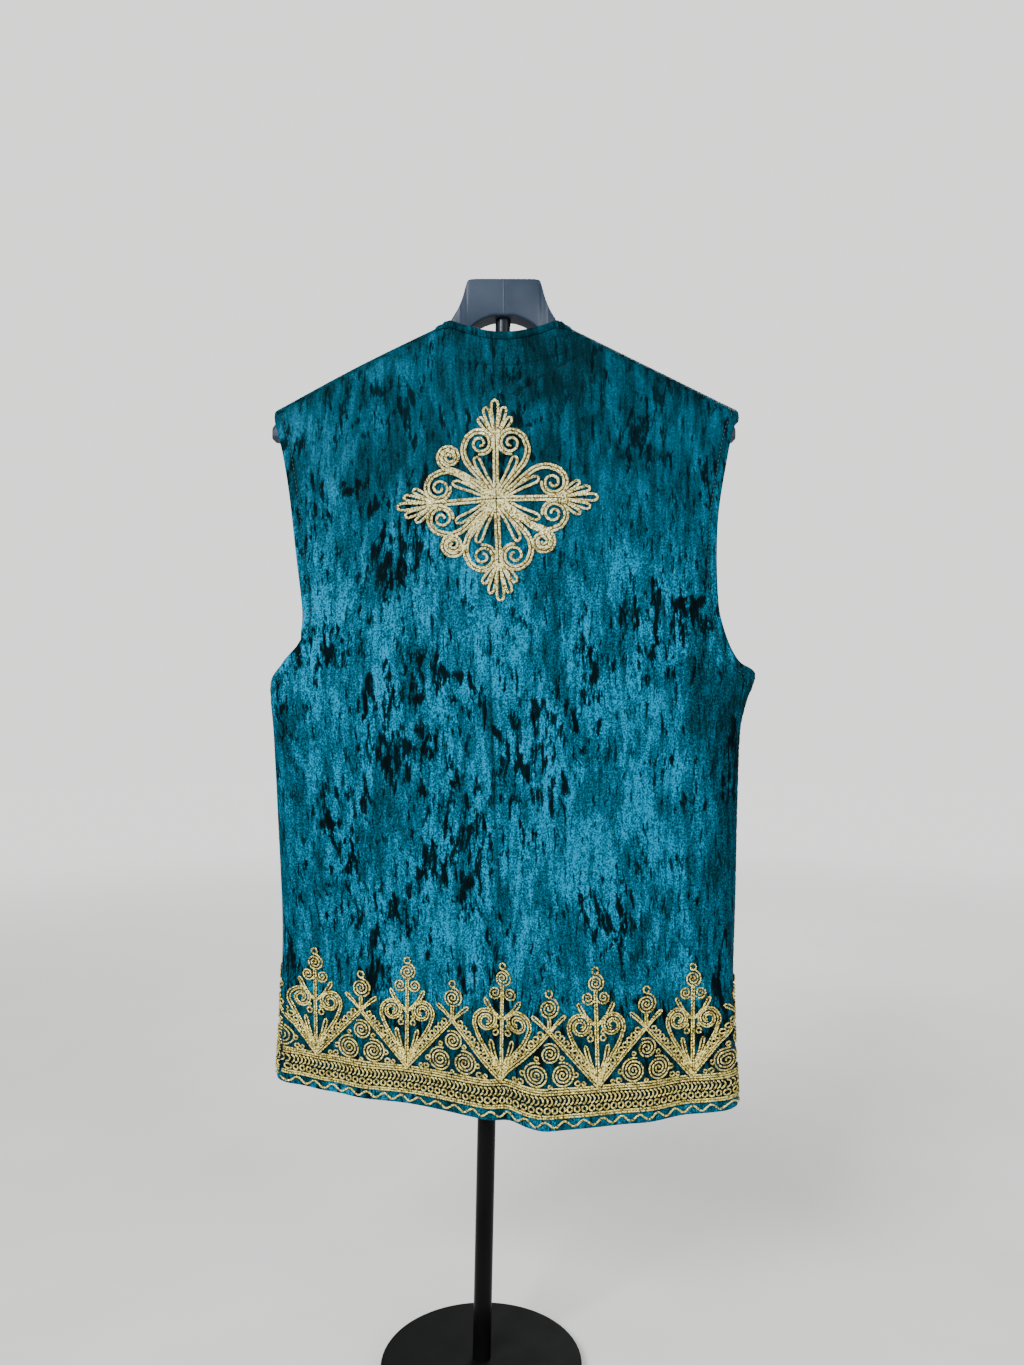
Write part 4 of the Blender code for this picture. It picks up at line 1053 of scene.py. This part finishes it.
def couch(name, paths, made_of, half_wide=CORD_HALF_WIDE, half_high=CORD_HALF_HIGH, sides=6,
          step=CORD_STEP, pile_up=0.0003, sink=0.15):
    """Sews cords down along (points, closed) pattern paths as one joined mesh."""
    runs = [(spaced(np.asarray(points), step, closed), closed) for points, closed in paths]
    runs = [(run, closed) for run, closed in runs if len(run) > 2]
    places = np.concatenate([run for run, closed in runs])
    base, normals = wrap(places[:, 0], places[:, 1]), wrap_normals(places[:, 0], places[:, 1])
    angles = -math.pi / 2 + 2 * math.pi * np.arange(sides) / sides
    vertices, faces, along, about = [], [], [], []
    first, start = 0, 0
    for run, closed in runs:
        rows = len(run)
        p, n = base[first:first + rows], normals[first:first + rows]
        ahead = np.roll(p, -1, axis=0) - np.roll(p, 1, axis=0) if closed else np.gradient(p, axis=0)
        ahead /= np.maximum(np.linalg.norm(ahead, axis=1, keepdims=True), 1e-9)
        right = np.cross(ahead, n)
        middle = p + n * (half_high * (1.0 - sink) + chance.random() * pile_up)
        rings = (middle[:, None, :] + right[:, None, :] * (half_wide * np.cos(angles))[None, :, None]
                 + n[:, None, :] * (half_high * np.sin(angles))[None, :, None])
        gone = np.concatenate([[0.0], np.cumsum(np.linalg.norm(np.diff(p, axis=0), axis=1))])
        vertices.append(rings.reshape(-1, 3))
        along.append(np.repeat(gone, sides))
        about.append(np.tile(np.arange(sides) / sides, rows))
        faces += loft_faces(rows, sides, start, closed)
        start += rows * sides
        if not closed:
            tip = half_wide * TIP_LONG
            vertices.append([middle[0] - ahead[0] * tip, middle[-1] + ahead[-1] * tip])
            along.append([0.0, gone[-1]])
            about.append([0.5, 0.5])
            start += 2
        first += rows
    mesh = bpy.data.meshes.new(name)
    mesh.from_pydata(np.concatenate(vertices).tolist(), [], faces)
    for label, values in (("along", along), ("about", about)):
        mesh.attributes.new(label, "FLOAT", "POINT").data.foreach_set(
            "value", np.concatenate(values).astype(np.float32))
    mesh.shade_smooth()
    mesh.calc_loop_triangles()
    print(f"{name}: {len(runs)} cords, {len(mesh.loop_triangles)} triangles")
    return link(name, mesh, made_of)


print("cord is", 2000 * CORD_HALF_WIDE, "mm wide")


# %% Strokes of the braider's hand
def arc(x, y, radius, start, sweep):
    """Open arc about a point, angles in degrees, anticlockwise for a positive sweep."""
    angles = np.radians(np.linspace(start, start + sweep, max(6, math.ceil(abs(sweep) / 14))))
    return np.stack([x + radius * np.cos(angles), y + radius * np.sin(angles)], axis=1)


def ring(x, y, radius):
    """A small closed ring."""
    return arc(x, y, radius, 0, 345), True


def spiral(x, y, outer, inner, start, turns):
    """Spiral wound inwards from its outer radius, anticlockwise for positive turns."""
    angles = np.radians(start + np.linspace(0.0, 360.0 * turns, max(12, math.ceil(abs(turns) * 28))))
    radius = np.linspace(outer, inner, len(angles))
    return np.stack([x + radius * np.cos(angles), y + radius * np.sin(angles)], axis=1)


def hairpin(foot, tip, wide, bow=0.0):
    """A long loop that leaves a foot, rounds a tip and comes back beside itself."""
    foot, tip = np.array(foot, float), np.array(tip, float)
    ahead = (tip - foot) / np.linalg.norm(tip - foot)
    across = np.array([-ahead[1], ahead[0]])
    length = np.linalg.norm(tip - foot)
    shape = ((0.0, 0.18), (0.45, 0.36), (0.82, 0.50), (0.96, 0.36), (1.0, 0.0))
    there, back = ([foot + ahead * length * a + across * (half * w + bow * math.sin(math.pi * a))
                    for a, w in shape] for half in (wide, -wide))
    return curve(there + back[-2::-1], 1.2)


def pair(path, apart):
    """Two cords side by side along one path."""
    return [(beside(path, apart / 2), False), (beside(path, -apart / 2), False)]


def mirrored(paths):
    """The same strokes on the other side of the motif's middle."""
    return [(points * (-1.0, 1.0), closed) for points, closed in paths]


def both_sides(paths):
    """Strokes and their mirror images."""
    return paths + mirrored(paths)


print("a spiral of 10 mm is", len(spiral(0, 0, 10, 2, 0, 2)), "points")

# %% [markdown]
# ## The hem border
# The border is a hedge of tall and short trees over a band of scrolls, all in couched gold cord.
# Each stroke is drawn afresh in millimetres from the kind of motif: rings, spirals, looped branches,
# straight arms lined with rings. The trees stand on the band's top line, and every copy leans and
# swells a little, as hand work does.

# %% Tall tree
CORD = 2.3
ARM_RING, ARM_RING_STEP, ARM_RINGS = 2.4, 6.3, 9


def tall_tree():
    """Strokes of one tall tree; x across from its stem, y up from the band."""
    strokes = [ring(0.0, 111.0, 3.2)]
    strokes += [(spiral(0.0, 99.0, 8.8, 0.9, 80, -2.6), False)]
    strokes += pair(np.array([(0.0, 92.0), (0.0, 60.0), (0.0, 3.0)]), CORD)
    half = [(spiral(7.9, 85.0, 6.5, 0.9, 205, 1.9), False)]
    half += [(hairpin((1.6, 59.0), (18.0, 80.5), 3.2, -1.8), False)]
    tail = curve([(2.8, 9.0), (12.5, 26.0), (22.5, 42.0), (27.6, 55.0)], 2.0)
    half += pair(np.concatenate([tail, spiral(15.8, 58.5, 11.8, 2.4, -8, 1.75)[1:]]), CORD)
    half += [ring(6.4, 46.5, 2.7), ring(6.2, 52.4, 1.7)]
    half += [(hairpin((1.8, 12.0), (11.4, 40.0), 3.4, -1.2), False)]
    half += [(hairpin((1.5, 5.0), (8.2, 24.0), 2.2, -0.6), False)]
    return strokes + both_sides(half)


def tree_arms(span, rise):
    """Straight arms from a tall tree's foot out to the crossings, lined with small rings."""
    half = []
    foot, top = np.array((0.0, 0.8)), np.array((span, rise))
    ahead = (top - foot) / np.linalg.norm(top - foot)
    up = np.array([-ahead[1], ahead[0]])
    for offset in (-CORD / 2, CORD / 2):
        line = np.array([foot, (foot + top) / 2, top]) + up * offset
        half.append((line, False))
    length = np.linalg.norm(top - foot)
    for k in range(ARM_RINGS):
        middle = foot + ahead * (length * 0.20 + k * ARM_RING_STEP) + up * (CORD + 2.6)
        half.append(ring(*middle, ARM_RING))
    return both_sides(half)


print("a tall tree has", len(tall_tree()), "cords, its arms", len(tree_arms(48.0, 55.0)))


# %% Short tree
def short_tree(rise):
    """Strokes of one short tree, which stands where two arms cross at the given rise."""
    strokes = [ring(0.0, rise + 36.6, 3.3)]
    strokes += [(spiral(0.0, rise + 22.6, 10.2, 0.9, 90, -2.9), False)]
    strokes += pair(np.array([(0.0, rise + 12.5), (0.0, rise + 7.0), (0.0, rise)]), CORD)
    strokes += [(spiral(0.3, rise - 20.4, 10.0, 0.9, 120, -2.8), False)]
    half = [(hairpin((1.4, rise + 1.0), (16.4, rise + 15.0), 3.2, 0.6), False)]
    half += [(spiral(12.8, 14.0, 12.2, 0.9, 105, -3.45), False)]
    half += [ring(12.4, rise - 25.0, 1.9), ring(0.0, 3.6, 1.7)]
    half += [(arc(27.6, 6.0, 2.6, 0, 345) * (1.0, 0.8) + (0.0, 0.4), True)]
    half += [ring(26.0, 13.5, 2.2), ring(33.6, 4.6, 1.8)]
    half += [(np.array([(2.0, 1.5), (18.0, 1.2), (44.0, 1.2)]), False)]
    return strokes + both_sides(half)


print("a short tree has", len(short_tree(55.0)), "cords")


# %% Band of scrolls
BAND_TOP = 37.5
BAND_LINES = (36.4, 33.9, 14.2, 12.0)
RING_STEP, HOOK_STEP = 7.3, 4.2


def band_strokes(start, end):
    """Strokes of the band between two pattern distances, all in millimetres from the hem."""
    strokes = []
    for line in BAND_LINES:
        c = np.arange(start, end, 3.0)
        strokes.append((np.stack([c, np.full_like(c, line)], axis=1), False))
    strokes += [(arc(c, 19.0, 2.75, 90, 345), True) for c in np.arange(start, end, RING_STEP)]
    strokes += [(arc(c, 27.7, 4.0, -75, 150), False) for c in np.arange(start, end, HOOK_STEP)]
    return strokes


print("100 mm of band has", len(band_strokes(0.0, 100.0)), "cords")

# %% [markdown]
# The strokes are set along the hem in pattern space, so they follow its slant, and are cut where one
# panel ends and the next begins. Each panel then gets its own piece of border, and each front two
# more cords up its opening edge.

# %% Lay out the border
MOTIF_REPEAT, FIRST_TALL = 96.5, -4.0
ARM_RISE = 55.0
TREES = range(-6, 7)
HALF_ROUND = 520.0
LEAN, SWELL = (-0.02, 0.02), (0.985, 1.01)


def set_out(strokes, middle, floor, lean=0.0, size=1.0):
    """Moves strokes from millimetres to their place above the hem."""
    placed = []
    for points, closed in strokes:
        c = (middle + (points[:, 0] + lean * points[:, 1]) * size) / 1000.0
        b = hem_at(c) + (floor + points[:, 1] * size) / 1000.0
        placed.append((np.stack([c, b], axis=1), closed))
    return placed


border = set_out(band_strokes(-HALF_ROUND, HALF_ROUND), 0.0, 0.0)
for k in TREES:
    middle = FIRST_TALL + k * MOTIF_REPEAT
    border += set_out(tree_arms(MOTIF_REPEAT / 2 + 1.5, ARM_RISE + 1.5), middle, BAND_TOP)
    for strokes, at in ((tall_tree(), middle), (short_tree(ARM_RISE), middle + MOTIF_REPEAT / 2)):
        border += set_out(strokes, at + chance.uniform(-1, 1), BAND_TOP,
                          chance.uniform(*LEAN), chance.uniform(*SWELL))
print("border strokes round the vest:", len(border))


# %% Cut the border to the panels
SEAM_CLEAR, OPENING_CLEAR = 0.0004, 0.0040
EDGE_CORDS_IN = (0.0022, 0.0041)
EDGE_CORDS_FROM, EDGE_CORDS_TO = 0.0125, 0.090
PANELS = ("back", "left", "right")


def panel_range(label, b):
    """Lowest and highest pattern distance of a panel at a height."""
    if label == "back":
        return seam_at(LEFT, b) + SEAM_CLEAR, seam_at(RIGHT, b) - SEAM_CLEAR
    side = SIDES[label]
    ends = seam_at(side, b) + side * SEAM_CLEAR, opening_at(side, b) - side * OPENING_CLEAR
    return np.minimum(*ends), np.maximum(*ends)


def cut_to(label, strokes):
    """The parts of the strokes that lie on one panel."""
    runs = [(spaced(points, CORD_STEP, closed), closed) for points, closed in strokes]
    places = np.concatenate([run for run, closed in runs])
    low, high = panel_range(label, places[:, 1])
    inside = (places[:, 0] > low) & (places[:, 0] < high)
    kept, first = [], 0
    for run, closed in runs:
        here = inside[first:first + len(run)]
        first += len(run)
        if here.all():
            kept.append((run, closed))
        elif here.any():
            breaks = np.flatnonzero(np.diff(here.astype(int))) + 1
            kept += [(part, False) for part, on in zip(np.split(run, breaks), np.split(here, breaks))
                     if on[0] and len(part) > 3]
    return kept


borders = {}
for label in PANELS:
    strokes = cut_to(label, border)
    if label in SIDES:
        side = SIDES[label]
        rises = np.linspace(EDGE_CORDS_FROM, EDGE_CORDS_TO, 30)
        foot = float(hem_at(opening_at(side, HEM_HEIGHT)))
        for inset in EDGE_CORDS_IN:
            c = opening_at(side, foot + rises) - side * inset
            strokes.append((np.stack([c, foot + rises], axis=1), False))
    borders[label] = couch(f"border_cords_{label}", strokes, gold)

# %% [markdown]
# ## Wave braid
# Below the band, on a bare strip of velvet, one cord snakes along the hem. It is a slightly thicker
# cord laid to a sine, with a period of a thumb's width.

# %% Lay the wave braid
WAVE_MIDDLE, WAVE_SWING, WAVE_PERIOD = 5.8, 2.7, 18.6
c = np.arange(-HALF_ROUND, HALF_ROUND, 1.5)
uneven = 0.5 * np.sin(c / 61.0) + 0.3 * np.sin(c / 23.0)
swing = (WAVE_SWING + 0.2 * uneven) * np.sin(2 * math.pi * c / WAVE_PERIOD + uneven)
snake = [(np.stack([c, WAVE_MIDDLE + swing], axis=1), False)]
waves = {}
for label in PANELS:
    waves[label] = couch(f"wave_cord_{label}", cut_to(label, set_out(snake, 0.0, 0.0)), gold,
                         half_wide=0.00105, half_high=0.00095)

# %% [markdown]
# ## The medallion
# In the middle of the back is a great four-armed rosette of flat plaited braid, much paler than the
# border. Each arm has a stem with a palmette of loops, a heart of two lobes that curl in beside the
# stem, and two slim petals. Three of the four corners end in a large spiral. It is drawn once, as an
# upward arm, and turned.

# %% Strokes of one arm
BRAID = 3.45


def arm_strokes():
    """Strokes of one arm of the rosette, pointing up, in millimetres from its middle."""
    strokes = pair(np.array([(0.0, 1.0), (0.0, 34.0), (0.0, 68.0)]), BRAID)
    strokes += [(hairpin((0.0, 66.0), (0.0, 102.0), 7.0), False)]
    half = [(hairpin((1.0, 66.0), (9.8, 94.5), 5.6, -0.6), False)]
    half += [(hairpin((1.8, 65.0), (16.4, 84.0), 5.2, -0.8), False)]
    lobe = curve([(1.8, 5.0), (9.5, 17.0), (19.5, 28.0), (28.3, 39.5), (31.2, 51.5),
                  (27.5, 63.0)], 2.0)
    roll = spiral(15.8, 57.5, 11.8, 2.6, 42, 1.62)
    whole = np.concatenate([lobe, roll[1:]])
    half += [(whole, False), (beside(whole[:len(lobe) + 18], -BRAID), False)]
    half += [(hairpin((2.0, 8.5), (20.6, 43.0), 6.6, -1.2), False)]
    return strokes + both_sides(half)


def corner_strokes():
    """A double arm that ends in a large spiral, up and to the left."""
    arm = curve([(-4.0, 3.5), (-19.0, 16.0), (-35.0, 26.5), (-47.5, 31.5)], 2.0)
    return pair(np.concatenate([arm, spiral(-46.8, 44.6, 11.6, 2.8, 262, -1.75)[1:]]), BRAID)


def turned(strokes, degrees, size=1.0):
    """Strokes turned about the middle."""
    s, c = math.sin(math.radians(degrees)) * size, math.cos(math.radians(degrees)) * size
    return [(np.asarray(points) @ np.array([[c, s], [-s, c]]), closed) for points, closed in strokes]


print("one arm has", len(arm_strokes()), "braids")

# %% Lay the medallion
MEDALLION_C, MEDALLION_Z = -0.008, 0.905
MEDALLION_TURN = 2.0

rosette = []
ARM_TURNS, ARM_SIZES = (-1.0, 3.0, 0.5, -1.0), (1.0, 0.99, 1.02, 1.01)
for quarter, (turn, size) in enumerate(zip(ARM_TURNS, ARM_SIZES)):
    rosette += turned(arm_strokes(), 90 * quarter + turn, size)
for quarter in (0, 1, 2):
    rosette += turned(corner_strokes(), 90 * quarter + chance.uniform(-2, 2))
rosette = [(points / 1000.0 + (MEDALLION_C, MEDALLION_Z), closed)
           for points, closed in turned(rosette, MEDALLION_TURN)]
medallion = couch("medallion_braid", rosette, pale_gold, half_wide=0.00145, half_high=0.00085,
                  sides=8, step=0.0016, pile_up=0.0007, sink=0.0)

# %% [markdown]
# ## Armhole cords and topstitching
# A gold cord edges each front armhole. The topstitching inside the armholes is made of real
# stitches: short, sunk lengths of teal thread.

# %% Armhole cords
ARMHOLE_CORD_IN = 0.0021
armhole_cords = {}
for label, side in SIDES.items():
    edge = armhole(side, False)
    past_fold = np.abs(edge[:, 0]) > reach(side, edge[:, 1]) + 0.004
    line = beside(spaced(edge[past_fold], 0.002), -side * ARMHOLE_CORD_IN)
    armhole_cords[label] = couch(
        f"armhole_cord_{label}_twist", [(line, False)], gold, half_wide=0.0019, half_high=0.0016,
        sides=10, step=0.0015, pile_up=0.0)

# %% Topstitching
STITCH_LONG, STITCH_GAP, STITCH_GRID = 0.0031, 0.0013, 0.0005
sewing = mottled("teal_thread", EVEN, 700.0, 1.0,
                 ((0.3, (0.002, 0.035, 0.046)), (0.7, (0.006, 0.085, 0.105))), Roughness=0.5)[0]


def stitches(line):
    """Short lengths of thread along a line."""
    line = spaced(line, STITCH_GRID)
    long, whole = round(STITCH_LONG / STITCH_GRID), round((STITCH_LONG + STITCH_GAP) / STITCH_GRID)
    return [(line[k:k + long], False) for k in range(0, len(line) - long, whole)]


stitching = {}
for label in PANELS:
    sewn = [topstitch(SIDES[label], False)] if label in SIDES else back_sewn[:2]
    strokes = [stitch for line in sewn for stitch in stitches(line)]
    stitching[label] = couch(f"topstitch_{label}", strokes, sewing, half_wide=0.00034,
                             half_high=0.00030, sides=5, step=0.0011, pile_up=0.0, sink=2.6)

# %% [markdown]
# ## Hanger
# The hanger is moulded in slate-blue plastic: a flat-topped neck block with an arched cut-out for
# the pole, whose sides sweep out into broad sloping shoulders. It is lofted through smooth sections
# with rounded top and bottom edges, at the sizes of the solid it stands for.

# %% Plastic and hanger sections
HANGER_X = 0.0236
# reach, top, bottom, half depth, crown
HANGER = np.array([
    (0.0000, 1.1376, 1.0973, 0.0150, 0.0040), (0.0090, 1.1376, 1.0973, 0.0150, 0.0040),
    (0.0180, 1.1376, 1.0950, 0.0150, 0.0040), (0.0270, 1.1376, 1.0905, 0.0150, 0.0040),
    (0.0340, 1.1372, 1.0850, 0.0150, 0.0040), (0.0372, 1.1360, 1.0790, 0.0150, 0.0040),
    (0.0390, 1.1320, 1.0740, 0.0150, 0.0040), (0.0425, 1.1195, 1.0665, 0.0150, 0.0045),
    (0.0470, 1.1085, 1.0595, 0.0155, 0.0060), (0.0525, 1.0995, 1.0535, 0.0160, 0.0080),
    (0.0580, 1.0905, 1.0490, 0.0155, 0.0090), (0.0640, 1.0835, 1.0440, 0.0160, 0.0120),
    (0.0850, 1.0728, 1.0335, 0.0170, 0.0140), (0.1150, 1.0578, 1.0190, 0.0175, 0.0140),
    (0.1500, 1.0405, 1.0035, 0.0175, 0.0140), (0.1850, 1.0223, 0.9880, 0.0175, 0.0140),
    (0.2120, 1.0072, 0.9770, 0.0165, 0.0140), (0.2260, 0.9985, 0.9725, 0.0150, 0.0130),
    (0.2345, 0.9925, 0.9700, 0.0135, 0.0110), (0.2400, 0.9850, 0.9705, 0.0120, 0.0080)])


def moulded_plastic():
    """Slate-blue plastic, with a fine mould line down its middle."""
    made, tree, shader, cloud = mottled(
        "slate_plastic", EVEN, 26.0, 3.0,
        ((0.25, (0.012, 0.023, 0.043)), (0.75, (0.022, 0.038, 0.066))),
        Roughness=0.46, Specular_IOR_Level=0.30)
    place = object_place(tree)
    across = add(tree, "ShaderNodeSeparateXYZ", {0: place}).outputs["X"]
    from_middle = maths(tree, "ABSOLUTE", maths(tree, "SUBTRACT", across, HANGER_X))
    mould_line = rescale(tree, from_middle, 0.0003, 0.0009, 1.0, 0.0)
    grain = noise(tree, place, EVEN, 1100.0, 2.0, 0.5)
    tree.links.new(rescale(tree, cloud, 0.3, 0.7, 0.40, 0.52), shader.inputs["Roughness"])
    bumped(tree, shader, maths(tree, "MULTIPLY_ADD", mould_line, 1.2, grain), 0.00009)
    return made


def hanger_section(at):
    """One section of the hanger, from its right-hand side over the top and round."""
    top, bottom, half, crown = (float(smooth(np.array(abs(at)), HANGER, k)) for k in (1, 2, 3, 4))
    lip = min(0.003, (top - crown - bottom) * 0.45)
    over, corner = np.linspace(0, math.pi, 17), np.linspace(0, math.pi / 2, 5)
    y = np.concatenate([half * np.cos(over), -half + lip * (1 - np.cos(corner)),
                        half - lip * (1 - np.sin(corner))])
    z = np.concatenate([top - crown + crown * np.sin(over), bottom + lip * (1 - np.sin(corner)),
                        bottom + lip * (1 - np.cos(corner))])
    return np.stack([np.full_like(y, HANGER_X + at), y, z], axis=1)


reaches = np.concatenate([np.linspace(0.0, 0.034, 14), np.linspace(0.0350, 0.066, 32),
                          np.linspace(0.070, 0.232, 34), np.linspace(0.234, 0.240, 6)])
stations = np.concatenate([-reaches[:0:-1], reaches])
hanger = loft("hanger_moulding", [hanger_section(at) for at in stations], moulded_plastic(),
              bulge=0.0008)
hanger.data.set_sharp_from_angle(angle=math.radians(40))

# %% [markdown]
# ## Stand
# The pole is gloss black tube with a slightly greyer sliding tube, and the base is powder coated.
# The turned solids already have the right shape, so they stay and only get their finishes.

# %% Finishes of the stand
def speckled(name, dark, light, roughness, grain_scale, depth, **sockets):
    """A coated metal with a fine grain in its gloss and surface."""
    made, tree, shader = material(name, **sockets)
    place = object_place(tree)
    grain = noise(tree, place, EVEN, grain_scale, 3.0, 0.6)
    dust = noise(tree, place, (1.0, 1.0, 0.3), 30.0, 3.0, 0.6)
    tree.links.new(ramp(tree, dust, ((0.3, dark), (0.8, light))), shader.inputs["Base Color"])
    tree.links.new(rescale(tree, dust, 0.3, 0.8, *roughness), shader.inputs["Roughness"])
    bumped(tree, shader, grain, depth)
    return made


gloss_black = speckled("gloss_black_tube", (0.0016, 0.0016, 0.0018), (0.0045, 0.0045, 0.005),
                       (0.20, 0.34), 260.0, 0.00002, Specular_IOR_Level=0.05, Coat_Weight=0.03,
                       Coat_Roughness=0.12)
grey_black = speckled("satin_black_tube", (0.010, 0.014, 0.018), (0.020, 0.027, 0.033), (0.30, 0.42),
                      260.0, 0.00002, Metallic=0.4, Specular_IOR_Level=0.2)
powder = speckled("black_powder_coat", (0.0030, 0.0034, 0.0032), (0.0060, 0.0068, 0.0064),
                  (0.55, 0.70), 1500.0, 0.00012, Specular_IOR_Level=0.03)
for node, finish in (("lower_tube", gloss_black), ("upper_tube", grey_black),
                     ("clamp_collar", powder), ("base", powder)):
    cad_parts[node].material_slots[0].material = finish

# %% [markdown]
# ## Room
# A pale floor and a pale sky give the even light of a shop wall. Three soft boxes model the cloth: a
# large key high on the left, a weaker one on the right, and one behind, so that no side is dark.

# %% Floor, world and lights
floor_mesh = bpy.data.meshes.new("floor")
work = bmesh.new()
bmesh.ops.create_circle(work, cap_ends=True, segments=96, radius=7.0)
work.to_mesh(floor_mesh)
work.free()
SKY, SKY_SEEN, SKY_LIGHT = (0.92, 0.925, 0.91, 1.0), 1.62, 0.42


def pale_floor():
    """A matt floor that fades with distance into the sky that the camera sees."""
    made, tree, shader = material("pale_floor", Roughness=0.85, Specular_IOR_Level=0.2,
                                  Emission_Color=SKY)
    place = object_place(tree)
    away = add(tree, "ShaderNodeVectorMath", {0: place}, operation="LENGTH").outputs["Value"]
    far = rescale(tree, away, 0.6, 4.0)
    cloud = ramp(tree, noise(tree, place, EVEN, 3.0, 3.0, 0.5),
                 ((0.3, (0.64, 0.64, 0.63)), (0.7, (0.70, 0.70, 0.69))))
    near = add(tree, "ShaderNodeVectorMath", {0: cloud, "Scale": maths(tree, "SUBTRACT", 1.0, far)},
               operation="SCALE").outputs["Vector"]
    tree.links.new(near, shader.inputs["Base Color"])
    seen = add(tree, "ShaderNodeLightPath").outputs["Is Camera Ray"]
    glow = maths(tree, "MULTIPLY", maths(tree, "MULTIPLY", far, seen), SKY_SEEN)
    tree.links.new(glow, shader.inputs["Emission Strength"])
    return made


floor = link("floor", floor_mesh, pale_floor())

world = bpy.data.worlds.new("pale_sky")
bpy.context.scene.world = world
world.use_nodes = True
sky = world.node_tree.nodes["Background"]
sky.inputs["Color"].default_value = SKY
seen = add(world.node_tree, "ShaderNodeLightPath").outputs["Is Camera Ray"]
strength = rescale(world.node_tree, seen, 0.0, 1.0, SKY_LIGHT, SKY_SEEN)
world.node_tree.links.new(strength, sky.inputs["Strength"])

MIDDLE = Vector((0.0, 0.0, 0.72))
# name, place, width, watts
LAMPS = (
    ("key", (-1.4, -2.2, 2.2), 1.2, 150.0),
    ("fill", (2.0, -1.6, 1.2), 1.4, 30.0),
    ("behind", (0.7, 2.2, 2.0), 1.5, 80.0),
)
for name, spot, size, power in LAMPS:
    lamp = bpy.data.lights.new(name, "AREA")
    lamp.size, lamp.energy = size, power
    light = bpy.data.objects.new(name, lamp)
    bpy.context.scene.collection.objects.link(light)
    light.location = spot
    light.rotation_euler = (MIDDLE - Vector(spot)).to_track_quat("-Z", "Y").to_euler()
print("lights:", len(LAMPS))

# %% [markdown]
# ## What rides on what
# Everything above the sliding tube is carried by it. Each new piece hides the solid it stands for,
# and the panels, the hanger and everything sewn on the panels are attached to the carried body. The
# panels' flat areas are printed.

# %% Hide the solids and carry the pieces
panels = {"back": (back_cloth, back_area), **fronts}
for label, (cloth, area) in panels.items():
    stands_for = {cloth: f"front_{label}" if label in SIDES else "back_panel",
                  neckbands[label]: f"neckband_{label}", borders[label]: f"hem_border_{label}",
                  waves[label]: f"wave_braid_{label}"}
    if label in SIDES:
        last, golden = armhole_cords[label], [borders[label], waves[label], armhole_cords[label]]
        stands_for[last] = f"armhole_cord_{label}"
    else:
        last, golden = medallion, [borders[label], waves[label]]
        stands_for[last] = "medallion"
    on_it = [neckbands[label], borders[label], waves[label], stitching[label], last]
    for piece, node in stands_for.items():
        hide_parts(node)
    for piece in [cloth] + on_it:
        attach(piece, "carried")
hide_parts("hanger")
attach(hanger, "carried")
print("sheets:", {label: round(float(area), 4) for label, (cloth, area) in panels.items()})
